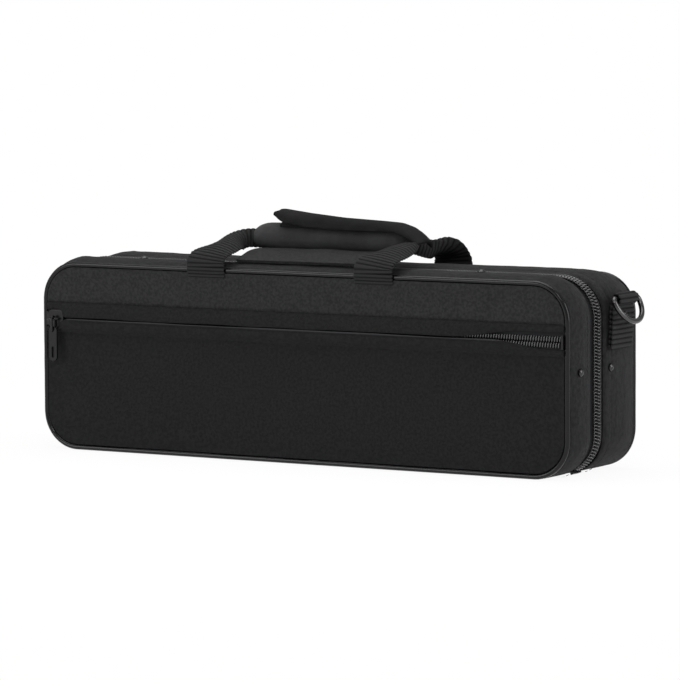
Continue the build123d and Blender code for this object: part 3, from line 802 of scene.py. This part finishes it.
class CASE_OT_panels(bpy.types.Operator):
    """Make the cloth panels of the front pocket and of the back"""

    bl_idname = "case.panels"
    bl_label = "Face panels"

    def execute(self, context):
        wrinkle = context.scene.case_sizes.wrinkle
        low, high = POCKET_Z + 0.9 * MM, POCKET_Z + 0.1 * MM
        header_rows = (0.5, 1.0, 1.8, 2.8, 4.2, 5.8, 7.4, 8.8, 9.7, 10.3, 10.7, 11.1, 11.7, 12.8, 14.5)
        pocket_rows = (0.25, 0.6, 1.0, 1.5, 2.0, 3.0, 4.6, 6.2, 8.0, 9.4, 10.1, 10.6, 11.1, 11.8, 13.5, 15.5, 18)

        def header_place(x, y, z):
            above = z - low
            opening = max(ease(x, 118, 176), ease(x, -191, -199))
            lap = ease(above, 10.4, 7.5)
            lip = ease(above, 1.6, 0)
            y -= 0.5 * MM * (1 - lap) + lap * (2.9 - 1.5 * opening) * MM
            y += 0.2 * MM * lip + 0.8 * MM * bell(above, 10.7, 0.55)
            y += lump((x, z * 2, 0.3), 40, wrinkle) * (1 - lap) + lap * lump((x, z * 3, 0.8), 22, wrinkle * 0.8)
            z += opening * 5.6 * MM * max(0.0, 1 - above / (10.2 * MM)) + lip * lump((x, 0, 0.2), 30, 0.5 * MM)
            return x, y, z

        def pocket_place(x, y, z):
            below = high - z
            opening = max(ease(x, 150, 196), ease(x, -191, -199))
            lap = ease(below, 10.2, 6.5)
            lip = max(0.0, 1 - below / (2 * MM)) ** 2
            y -= 0.9 * MM * bell(z, 50, 45) * (1 - (x / HALF) ** 4) + lap * (3.5 - 2.0 * opening) * MM
            y += 1.4 * MM * lip + 0.3 * MM * bell(below, 10.6, 0.7)
            y += lump((x, z * 1.5, 0.9), 55, wrinkle * 1.5) * (1 - lap)
            y += lump((x * 0.4, z * 1.8, 0.4), 16, wrinkle * 0.7) * (1 - lap * 0.5)
            z -= opening * 5.4 * MM * max(0.0, 1 - below / (9.8 * MM))
            return x, y, z + lip * lump((x, 0, 0.6), 34, 0.5 * MM)

        def back_place(x, y, z):
            hill = bell(z, 66, 50) * (1 - (x / HALF) ** 4)
            return x, y + 0.9 * MM * hill + lump((x, z, 0.5), 50, wrinkle * 1.6), z

        front, back = FRONT + PANEL_IN, BACK - PANEL_IN
        for obj, rule, thickness, finish, node, body, height, area in (
                (face_sheet("header_cloth", front, low, HIGH_SEAM, 5 * MM, [low + row * MM for row in header_rows]),
                 header_place, 0.95, "header nylon", "pocket_header", "lid", 36.4, 0.01475),
                (face_sheet("pocket_cloth", front, LOW_SEAM, high, 5.5 * MM, [high - row * MM for row in pocket_rows]),
                 pocket_place, 0.95, "pocket nylon", "pocket_panel", "lid", 90, 0.03674),
                (face_sheet("back_cloth", back, LOW_SEAM, HIGH_SEAM, 6 * MM),
                 back_place, 0.95, "nylon", "back_panel", "base", 125.2, 0.05126),
                (face_sheet("pocket_lining", LINING_Y, LOW_SEAM, HIGH_SEAM, 12 * MM),
                 None, 0.6, "nylon", "front_panel", "lid", 124.8, 0.05107)):
            if rule:
                reshape(obj, rule)
            dress(smooth(thicken(obj, thickness * MM)), finish, "nylon_cloth", body, node)
        return {"FINISHED"}


# ---- welt cord ----


def welt(name, y, joint):
    """Round welt cord round a face, with the overlap where its ends meet under the case."""
    step = 2 * HALF_GIRTH / WELT_PIECES
    cord = primitive(bpy.ops.mesh.primitive_cylinder_add, name, vertices=14, radius=WELT_RADIUS, depth=step,
                     end_fill_type="NOTHING", rotation=(0, math.pi / 2, 0))
    rows_of(move(cord, (-HALF_GIRTH + step / 2, y, -WELT_RADIUS)), WELT_PIECES, step, merge=True)

    def place(s, depth, h):
        swell = 1 + noise.noise(Vector((s / (9 * MM), y * 30, 0.7))) * 0.05
        swell += 0.16 * min(1.0, max(0.0, 1 - abs(s - joint) / (5 * MM)) * 3)
        return s, y + (depth - y) * swell, -WELT_RADIUS + (h + WELT_RADIUS) * swell

    return smooth(merge_close(wrap(reshape(cord, place), 0.1 * MM)), 80)


class CASE_OT_welts(bpy.types.Operator):
    """Make the welt cord round the front and the back"""

    bl_idname = "case.welts"
    bl_label = "Welt cord"

    def execute(self, context):
        for name, body, y, joint in (("front_welt", "lid", FRONT + WELT_RADIUS, HALF_GIRTH - 13 * MM),
                                     ("back_welt", "base", BACK - WELT_RADIUS, -HALF_GIRTH + 20 * MM)):
            dress(welt(name, y, joint), "vinyl", "vinyl_piping", body, f"{body}_piping")
        return {"FINISHED"}


# ---- zips ----


def coil_row(name, side, count, pitch, size, lean, y, z):
    """A row of a zip's coil along X: each turn lies along Y from its sewn end to its head, crown upwards."""
    width, reach, rise = (length * MM for length in size)
    row = primitive(bpy.ops.mesh.primitive_uv_sphere_add, name, segments=8, ring_count=6, radius=0.5,
                    rotation=(math.pi / 2, 0, 0), scale=(width, rise, reach))

    def place(a, b, c):
        t = b / reach + 0.5
        a *= 1 + 0.35 * max(0.0, t - 0.62) / 0.38
        return a + lean * MM * (t - 0.5), b, c + rise * 0.12 * math.sin(math.pi * t)

    reshape(row, place)
    if side > 0:
        turn(row, 180)
    move(row, (-count * pitch / 2 + pitch * (0.25 if side < 0 else 0.75), y, z))
    return rows_of(row, count, pitch)


class CASE_OT_main_zip(bpy.types.Operator):
    """Make the main zip's tapes and coils"""

    bl_idname = "case.main_zip"
    bl_label = "Main zip"

    def execute(self, context):
        pitch = context.scene.case_sizes.tooth_pitch
        count = int(2 * TEETH_END / pitch)
        for body, (side, hem, _) in BANDS.items():
            inner = ZIP_Y + side * ZIP_GAP
            tape = flat_cloth(f"{body}_tape", (-CHAIN_END, CHAIN_END), sorted((hem + side * 1.2 * MM, inner)),
                              3.2 * MM, 1.4 * MM)

            def sink(x, y, z):
                far = max(0.0, abs(y - inner) / (9 * MM) - 0.9)
                return x, y, -TAPE_SINK - 0.3 * MM * far + lump((x, y, z), 14, 0.12 * MM)

            thicken(wrap(reshape(tape, sink)), 0.6 * MM)
            dress(smooth(tape), "tape", "zip_tape", body, f"{body}_zip_tape")
            row = coil_row(f"{body}_coil", side, count, pitch, size=(1.25, 5.0, 3.0), lean=1.1,
                           y=ZIP_Y + side * 2.3 * MM, z=-TAPE_SINK + 1.5 * MM)
            cord = stitches(f"{body}_coil_thread", (-TEETH_END, TEETH_END), ZIP_Y + side * 4.2 * MM,
                            -TAPE_SINK + 2.0 * MM, length=pitch * 0.72, gap=pitch * 0.28, thread=0.7 * MM)
            row = join(f"{body}_coil", [row, cord])
            reshape(row, lambda x, y, z: (x, y, z - 1.2 * MM * ease(abs(x), LOW_CORNER / MM, TEETH_END / MM)))
            dress(smooth(wrap(row), 80), "coil", "zip_coil", body, f"{body}_zip_coil")
            seam = stitches(f"{body}_tape_stitches", (-CHAIN_END, CHAIN_END), ZIP_Y + side * 8.6 * MM, -TAPE_SINK)
            dress(smooth(wrap(seam), 80), "thread", "zip_tape", body)
        return {"FINISHED"}


class CASE_OT_pocket_zip(bpy.types.Operator):
    """Make the pocket zip's tapes and coils"""

    bl_idname = "case.pocket_zip"
    bl_label = "Pocket zip"

    def execute(self, context):
        pitch = context.scene.case_sizes.pocket_pitch
        half = HALF - SEAM_IN
        count = int(2 * (half - 1.5 * MM) / pitch)
        tapes, rows, seams = [], [], []
        for side in (-1, 1):
            tape = flat_cloth("pocket_tape", (-half, half), sorted((side * ZIP_GAP, side * 11.5 * MM)),
                              6 * MM, 1.8 * MM)
            reshape(tape, lambda x, y, z: (x, y, lump((x, y, z), 20, 0.15 * MM)))
            tapes.append(thicken(tape, 0.55 * MM))
            rows.append(coil_row("pocket_coil", side, count, pitch, size=(1.2, 4.3, 1.5), lean=0.7,
                                 y=side * 2.1 * MM, z=0.75 * MM))
            seams.append(stitches("pocket_tape_stitches", (-half, half), -side * 7.6 * MM, 0))
        for name, parts, angle, finish, slot, nodes in (
                ("pocket_tape", tapes, 50, "tape", "zip_tape", ["pocket_zip_tape"]),
                ("pocket_coil", rows, 80, "coil", "zip_coil", ["pocket_zip_coil"]),
                ("pocket_tape_stitches", seams, 80, "thread", "zip_tape", [])):
            dress(smooth(stand(join(name, parts), POCKET_ZIP_Y, POCKET_Z), angle), finish, slot, "lid", *nodes)
        return {"FINISHED"}


# ---- handles and tabs ----


def fold_lengthwise(strip, fold, way):
    """Curl webbing across its width; fold(x) is from 0, flat, to 1, folded in two, and way is 1 or -1."""
    half = STRAP_WIDTH / 2

    def place(x, y, z):
        amount = fold(x)
        if amount <= 0:
            return x, y, z
        bend = 2.35 * amount
        radius = half / bend
        angle = y / half * bend
        level = math.cos(angle)
        rise = way * (1 - 0.68 * amount) * radius * (level - 1)
        spread = level if abs(angle) < 1.2 else math.copysign(0.5, level)
        return x, (radius + z * way) * math.sin(angle), rise + z * spread

    reshape(strip, place)


def handle_webbing(name, side, core_y, pitch):
    """One handle's webbing in one length, from foot to foot through the grip, folded in two where it is held."""
    if side < 0:
        left = ((-73, 0, 132.3), (-73, 0.6, 136.6), (-72.0, 5, 142.1), (-69.0, 17, 148.2), (-67.2, 28, 151.0),
                (-64.5, 39.2, 150.9), (-58, 45.2, 150.0), (-50, 46.2, 150.2))
        right = ((61, 0, 132.3), (61, 0.6, 136.3), (62.2, 5, 141.6), (65.4, 17, 147.4), (67.0, 28, 150.4),
                 (65, 39.2, 150.9), (58, 45.2, 150.6), (50, 46.2, 150.8))
        far_fold, far_turn = (6, 58), (34, 70)
    else:
        left = ((-67, 0, 132.3), (-67, 0.6, 136.6), (-66.4, 5, 141.2), (-66.8, 15, 145.0), (-66.4, 21.5, 146.8),
                (-64.5, 29, 147.6), (-58, 34.5, 148.4), (-50, 35.5, 149.0))
        right = ((67, 0, 132.3), (67, 0.2, 134.4), (66.8, 0.9, 136.8), (66.2, 3.6, 139.6), (65.4, 10, 141.8),
                 (64, 17, 143.2), (62, 25.5, 144.8), (57, 33, 147.4), (50, 35.5, 149.4))
        far_fold, far_turn = (2, 27), (6, 32)
    left, right = ([(x * MM, side * (STRAP_Y - depth * MM), z * MM) for x, depth, z in half] for half in (left, right))
    middle = [(-20 * MM, core_y, 151 * MM), (20 * MM, core_y, 151.2 * MM)]
    path, length = smooth_path(left + middle + right[::-1], 400)
    strip = webbing(name, length, pitch)

    def inward(x, near, far):
        """0 at the feet and 1 in the grip, between the ends near at the left and far at the right."""
        return ease(x, *near) if x < length / 2 else ease(length - x, *far)

    def across(t):
        turned = inward(t * length, (26, 64), far_turn) * math.pi / 2
        way = -side if t < 0.5 else side
        return way * math.cos(turned), 0.0, side * math.sin(turned)

    fold_lengthwise(strip, lambda x: inward(x, (4, 56), far_fold), side)
    return smooth(outward(follow(strip, path, length, across)), 60)


class CASE_OT_webbing(bpy.types.Operator):
    """Make the carrying handles' webbing, its sewn feet and the ring tabs"""

    bl_idname = "case.webbing"
    bl_label = "Webbing"

    def execute(self, context):
        pitch = context.scene.case_sizes.rib_pitch
        foot_line = ((47.9 * MM, 125.2 * MM), (48.1 * MM, 127.5 * MM), (49.0 * MM, 129.6 * MM), (STRAP_Y, 132.2 * MM))
        for side, name, core_y in ((-1, "front", -2.8 * MM), (1, "rear", 13.5 * MM)):
            strap = handle_webbing(f"{name}_webbing", side, core_y, pitch)
            dress(strap, "webbing", "webbing", f"{name}_handle", f"{name}_handle_strap")
        for side, body, name, places in ((-1, "lid", "front", (-73 * MM, 61 * MM)),
                                         (1, "base", "rear", (-67 * MM, 67 * MM))):
            feet = []
            for x in places:
                path, length = smooth_path([(x, side * y, z) for y, z in foot_line])
                feet.append(follow(webbing("foot", length, pitch), path, length, lambda t: (-side, 0, 0)))
            feet = smooth(outward(join(f"{body}_feet", feet)), 70)
            dress(feet, "webbing", "webbing", body, f"{name}_handle_feet")
        tab_line = ((214.1, 83.6), (214.9, 95), (215.4, 106), (215.5, 112.5), (219.4, 114.8), (220.0, 118.0),
                    (217.6, 120.6), (214.3, 118.6), (213.7, 110), (213.4, 98), (212.4, 84))
        for side, name in ((1, "right"), (-1, "left")):
            path, length = smooth_path([(side * x * MM, TAB_Y, z * MM) for x, z in tab_line])
            strap = webbing(f"{name}_tab", length, pitch=3.3 * MM, depth=0.75 * MM)
            middle, reach = length / 2 / MM, 0.16 * length / MM
            reshape(strap, lambda x, y, z: (x, y * (1 - 0.13 * bell(x, middle, reach, 4)), z))
            follow(strap, path, length, lambda t: (0, side, 0))
            dress(smooth(outward(strap), 70), "webbing", "webbing", "base", f"{name}_ring_tab")
        return {"FINISHED"}


# ---- grip and flaps ----


def puff(pad, voxel, pressure, limit):
    """Fill a padded piece: remesh it, blow it up a little as cloth, hold each point within a limit, and refine it."""
    add_modifier(pad, "REMESH", mode="VOXEL", voxel_size=voxel)
    starts = [vertex.co.copy() for vertex in pad.data.vertices]
    make_active(pad)
    cloth = pad.modifiers.new("cloth", "CLOTH")
    cloth.settings.use_pressure = True
    cloth.settings.uniform_pressure_force = pressure
    cloth.settings.effector_weights.gravity = 0
    scene = bpy.context.scene
    for moment in range(1, 21):
        scene.frame_set(moment)
    bpy.ops.object.modifier_apply(modifier=cloth.name)
    scene.frame_set(1)
    for vertex, start in zip(pad.data.vertices, starts):
        way = vertex.co - start
        if way.length > limit:
            vertex.co = start + way.normalized() * limit
    return add_modifier(pad, "SUBSURF", levels=1, render_levels=1)


class CASE_OT_grip(bpy.types.Operator):
    """Make the padded grip, its wrap-over flap and their hook and loop patches"""

    bl_idname = "case.grip"
    bl_label = "Padded grip"

    def execute(self, context):
        low, high = GRIP_Z - 9.4 * MM, GRIP_Z + 9 * MM
        sleeve = rounded_box("grip_padding", (-11 * MM, -GRIP_HALF, low), (9.2 * MM, GRIP_HALF, high),
                             radius=8.6 * MM, segments=8)
        turn(sleeve, -90)
        slice_along(sleeve, 0, steps(-GRIP_HALF, GRIP_HALF, 4 * MM))
        slice_along(sleeve, 2, steps(low, high, 4 * MM))

        def taper(x, y, z):
            end = max(0.0, (abs(x) - 51 * MM) / (11.5 * MM))
            shrink = 1 - 0.38 * end ** 2.4
            return x, GRIP_Y + (y - GRIP_Y) * shrink, GRIP_Z + (z - GRIP_Z) * shrink - 1.6 * MM * end

        def dent(x, y, z):
            point = Vector((x, y, z))
            pull = lump(point * 0.8, 26, 0.7 * MM)
            pull += max(0.0, abs(x) - 40 * MM) / (22 * MM) * lump((x * 0.3, y * 2, z * 2), 11, 0.6 * MM)
            return point + Vector((0, y - GRIP_Y, z - GRIP_Z)).normalized() * pull

        reshape(puff(reshape(sleeve, taper), voxel=2.2 * MM, pressure=3.0, limit=1.3 * MM), dent)
        dress(smooth(outward(sleeve), 80), "grip nylon", "padded_cloth", "front_handle", "grip_sleeve")
        crest = [(-41, 168.4), (-38, 168.6), (-28, 167.5), (-16, 166.2), (10, 164.0), (40, 162.8), (55, 162.0),
                 (63, 159.6), (69, 156.0), (75, 150.5)]
        edge = [(-41, 167.8), (-39, 166.4), (-36, 163.8), (-31, 161.2), (-14, 159.0), (0, 158.0), (34, 157.6),
                (56, 157.8), (66, 154.0), (75, 148.5)]
        flap = flat_cloth("grip_wrap", (FLAP_LEFT, FLAP_RIGHT), (0, FLAP_ROUND), 2.4 * MM, 1.4 * MM)
        sections = {}

        def over_grip(x, across, _):
            key = round(x, 5)
            if key not in sections:
                top, rim = between(crest, x / MM) * MM, between(edge, x / MM) * MM
                sections[key] = smooth_path([
                    (x, -13.2 * MM, rim), (x, -11.4 * MM, (rim + 2 * top) / 3), (x, -6 * MM, top),
                    (x, 0.5 * MM, top + 0.2 * MM), (x, 5.6 * MM, min(161.6 * MM, top - 1.6 * MM)),
                    (x, 7.6 * MM, min(158.6 * MM, top - 4.6 * MM))], 41)[0]
            line = sections[key]
            t = min(1.0, max(0.0, across / FLAP_ROUND)) * 40
            i = min(int(t), 39)
            return line[i].lerp(line[i + 1], t - i)

        thicken(reshape(flap, over_grip), 3.2 * MM, 0)
        add_modifier(flap, "BEVEL", width=1.4 * MM, segments=3, limit_method="ANGLE", angle_limit=math.radians(50))
        puff(flap, voxel=1.2 * MM, pressure=2.0, limit=0.5 * MM)
        dress(smooth(outward(flap), 80), "flap nylon", "padded_cloth", "grip_flap", "grip_flap")
        for kind, body, lift in (("hook", "front_handle", 0.4), ("loop", "grip_flap", 1.4)):

            def round_grip(x, across, _):
                angle = math.radians(38 + 54 * across / (12 * MM))
                return (x, GRIP_Y - (10.2 + lift) * MM * math.cos(angle),
                        GRIP_Z + (9.2 + lift) * MM * math.sin(angle) ** 0.7)

            patch = flat_cloth(f"{kind}_patch", (-37 * MM, 46 * MM), (0, 12 * MM), 3 * MM, 1.2 * MM)
            thicken(reshape(patch, round_grip), 0.8 * MM, 0)
            dress(smooth(outward(patch), 60), kind, f"{kind}_tape", body, f"grip_{kind}_patch")
        return {"FINISHED"}


class CASE_OT_zip_flap(bpy.types.Operator):
    """Make the cloth tongue that lies over the zip under the grip"""

    bl_idname = "case.zip_flap"
    bl_label = "Zip flap"

    def execute(self, context):
        slope = math.radians(20)

        def place(x, out, _):
            far = max(0.0, out - 14 * MM) / (10 * MM)
            x *= (TONGUE_HALF - 10 * MM * (1 - math.sqrt(max(0.0, 1 - far ** 2)))) / TONGUE_HALF
            sag = -1.0 * MM * (out / TONGUE_OUT) ** 2 + lump((x, out, 0), 25, 0.8 * MM)
            return x, -37 * MM + out * math.cos(slope), 136.6 * MM + out * math.sin(slope) + sag

        tongue = flat_cloth("zip_tongue", (-TONGUE_HALF, TONGUE_HALF), (0, TONGUE_OUT), 3 * MM, 1.5 * MM)
        thicken(reshape(tongue, place), 1.8 * MM, 0)
        dress(smooth(outward(tongue), 60), "header nylon", "nylon_cloth", "zip_flap", "zip_flap")
        return {"FINISHED"}


# ---- inside, metal parts and trays ----


def plush_over(name, node, size):
    """Soften a lining block: merge a copy of it, remesh it finely and smooth its edges."""
    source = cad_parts[node]
    clear_selection()
    obj = source.copy()
    obj.data = source.data.copy()
    obj.name = name
    bpy.context.collection.objects.link(obj)
    obj.parent = None
    obj.matrix_world = source.matrix_world
    merge_close(settle(obj), 0.01 * MM)
    add_modifier(obj, "REMESH", mode="VOXEL", voxel_size=size)
    add_modifier(obj, "SMOOTH", factor=0.5, iterations=4)
    ways = [vertex.normal.copy() for vertex in obj.data.vertices]
    for vertex, way in zip(obj.data.vertices, ways):
        vertex.co += way * lump(vertex.co, 18, 0.35 * MM)
    return smooth(obj, 80)


class CASE_OT_lining(bpy.types.Operator):
    """Make the plush cradle, the lid's plush pad and the cloth hinge"""

    bl_idname = "case.lining"
    bl_label = "Lining"

    def execute(self, context):
        for name, body, node, size in (("plush_cradle", "base", "flute_cradle", 2.6 * MM),
                                       ("plush_pad", "lid", "lid_pad", 3.2 * MM)):
            dress(plush_over(name, node, size), "plush", "plush_lining", body, node)
        for body, y in (("lid", (LID_HEM, ZIP_Y - 0.15 * MM)), ("base", (ZIP_Y + 0.15 * MM, BASE_HEM))):
            leaves = []
            for side in (-1, 1):
                ends = sorted((side * (CHAIN_END + 1 * MM), side * HALF_GIRTH))
                leaves.append(wrap(flat_cloth("leaf", ends, y, 6 * MM, 2 * MM)))
            leaf = move(merge_close(join(f"{body}_hinge_cloth", leaves)), (0, 0, 0.1 * MM))
            dress(smooth(thicken(leaf, 1.0 * MM)), "nylon", "nylon_cloth", body, f"{body}_hinge_leaf")
        return {"FINISHED"}


class CASE_OT_hardware(bpy.types.Operator):
    """Give the sliders, pulls, rings, rivets, stops and trays their finishes"""

    bl_idname = "case.hardware"
    bl_label = "Hardware"

    def execute(self, context):
        finishes = {"dark_metal": "enamel", "steel_rivet": "steel", "board": "board"}
        for name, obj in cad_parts.items():
            for place in obj.material_slots:
                base = place.material.name.split(".")[0]
                if base in finishes:
                    place.material = finish_named("ring steel" if "d_ring" in name else finishes[base])
        return {"FINISHED"}


# ---- stage ----


def aim_camera(eye, azimuth, elevation, roll, lens):
    """A camera at a point, looking back along an azimuth and elevation given in degrees."""
    data = bpy.data.cameras.new("camera")
    data.lens = lens
    data.sensor_width = 36
    data.clip_end = 50
    camera = bpy.data.objects.new("camera", data)
    bpy.context.collection.objects.link(camera)
    azimuth, tilt, roll = (math.radians(angle) for angle in (azimuth, 90 - elevation, roll))
    turned = Euler((tilt, 0, azimuth)).to_matrix() @ Matrix.Rotation(roll, 3, "Z")
    camera.matrix_world = Matrix.Translation(eye) @ turned.to_4x4()
    bpy.context.scene.camera = camera


def soft_lamp(name, place, size, power):
    """A square area lamp that faces the case."""
    clear_selection()
    bpy.ops.object.light_add(type="AREA", location=place)
    lamp = bpy.context.object
    lamp.name = name
    lamp.data.shape = "SQUARE"
    lamp.data.size = size
    lamp.data.energy = power
    lamp.rotation_euler = (Vector((0, 0, 0.08)) - Vector(place)).to_track_quat("-Z", "Y").to_euler()


def pale_ground(name, white):
    """A white ground: plain diffuse under the lamps, and as white as written where it is looked at."""
    paint = Paint(name, (0.9, 0.9, 0.9))
    path = paint.add("LightPath")
    seen = paint.out(path, "Is Camera Ray")
    for kind in ("Glossy", "Transmission"):
        seen = seen.most(paint.out(path, f"Is {kind} Ray"))
    far = paint.out(paint.add("VectorMath", {"operation": "LENGTH"}, Vector=paint.place()), "Value").fade(0.35, 0.9)
    both = paint.add("MixShader", Fac=seen * (white + far * (1 - white)))
    glow = paint.add("Emission", Color=(1, 1, 1, 1), Strength=1.0)
    for source, target in ((paint.shader, both.inputs[1]), (glow, both.inputs[2]),
                           (both, paint.tree.nodes["Material Output"].inputs["Surface"])):
        paint.tree.links.new(source.outputs[0], target)
    paint.finish(paint.shade(1), 0.9, gloss=0.0)
    return paint.material


class CASE_OT_stage(bpy.types.Operator):
    """Make the white floor and backdrop, the lamps and the camera"""

    bl_idname = "case.stage"
    bl_label = "Stage"

    def execute(self, context):
        scene = context.scene
        scene.view_settings.view_transform = "Standard"
        floor = primitive(bpy.ops.mesh.primitive_plane_add, "floor", size=12, location=(0, 0, -0.4 * MM))
        floor.data.materials.append(pale_ground("white floor", 0.93))
        scene.world = world = bpy.data.worlds.new("white room")
        world.use_nodes = True
        tree = world.node_tree
        backdrop = tree.nodes["Background"]
        backdrop.inputs["Color"].default_value = (1, 1, 1, 1)
        path = tree.nodes.new("ShaderNodeLightPath")
        level = tree.nodes.new("ShaderNodeMapRange")
        tree.links.new(path.outputs["Is Camera Ray"], level.inputs["Value"])
        level.inputs["To Min"].default_value = 0.4
        level.inputs["To Max"].default_value = 1.0
        tree.links.new(level.outputs[0], backdrop.inputs["Strength"])
        soft_lamp("top lamp", (-0.2, 0.1, 1.7), 1.6, 20)
        soft_lamp("right lamp", (1.8, 0.2, 0.7), 1.2, 16)
        soft_lamp("corner lamp", (0.9, -1.5, 1.5), 0.5, 7)
        soft_lamp("front lamp", (-1.2, -1.8, 0.75), 1.2, 17)
        aim_camera((1.6857, -2.7614, 0.3714), azimuth=31.326, elevation=5.125, roll=-0.266, lens=249.8)
        return {"FINISHED"}


# ---- panel and run ----


class CASE_PT_build(bpy.types.Panel):
    """Lists the case's sizes, colours and steps"""

    bl_idname = "CASE_PT_build"
    bl_label = "Flute Case"
    bl_space_type = "VIEW_3D"
    bl_region_type = "UI"
    bl_category = "Flute Case"

    def draw(self, context):
        for group in (context.scene.case_sizes, context.scene.case_colors):
            column = self.layout.column()
            for name in group.__annotations__:
                column.prop(group, name)
        for step in STEPS:
            self.layout.operator(step.bl_idname)


STEPS = (CASE_OT_stage, CASE_OT_sides, CASE_OT_panels, CASE_OT_welts, CASE_OT_main_zip, CASE_OT_pocket_zip,
         CASE_OT_webbing, CASE_OT_grip, CASE_OT_zip_flap, CASE_OT_lining, CASE_OT_hardware)
CLASSES = (CaseSizes, CaseColors, *STEPS, CASE_PT_build)


def register():
    """Register the classes and hang the settings on the scene."""
    for item in CLASSES:
        bpy.utils.register_class(item)
    bpy.types.Scene.case_sizes = bpy.props.PointerProperty(type=CaseSizes)
    bpy.types.Scene.case_colors = bpy.props.PointerProperty(type=CaseColors)


def unregister():
    """Take the settings and classes away again."""
    del bpy.types.Scene.case_colors
    del bpy.types.Scene.case_sizes
    for item in reversed(CLASSES):
        bpy.utils.unregister_class(item)


def main():
    """Make every piece in order."""
    register()
    for step in STEPS:
        getattr(bpy.ops.case, step.bl_idname.split(".")[1])()


if __name__ == "__main__":
    main()
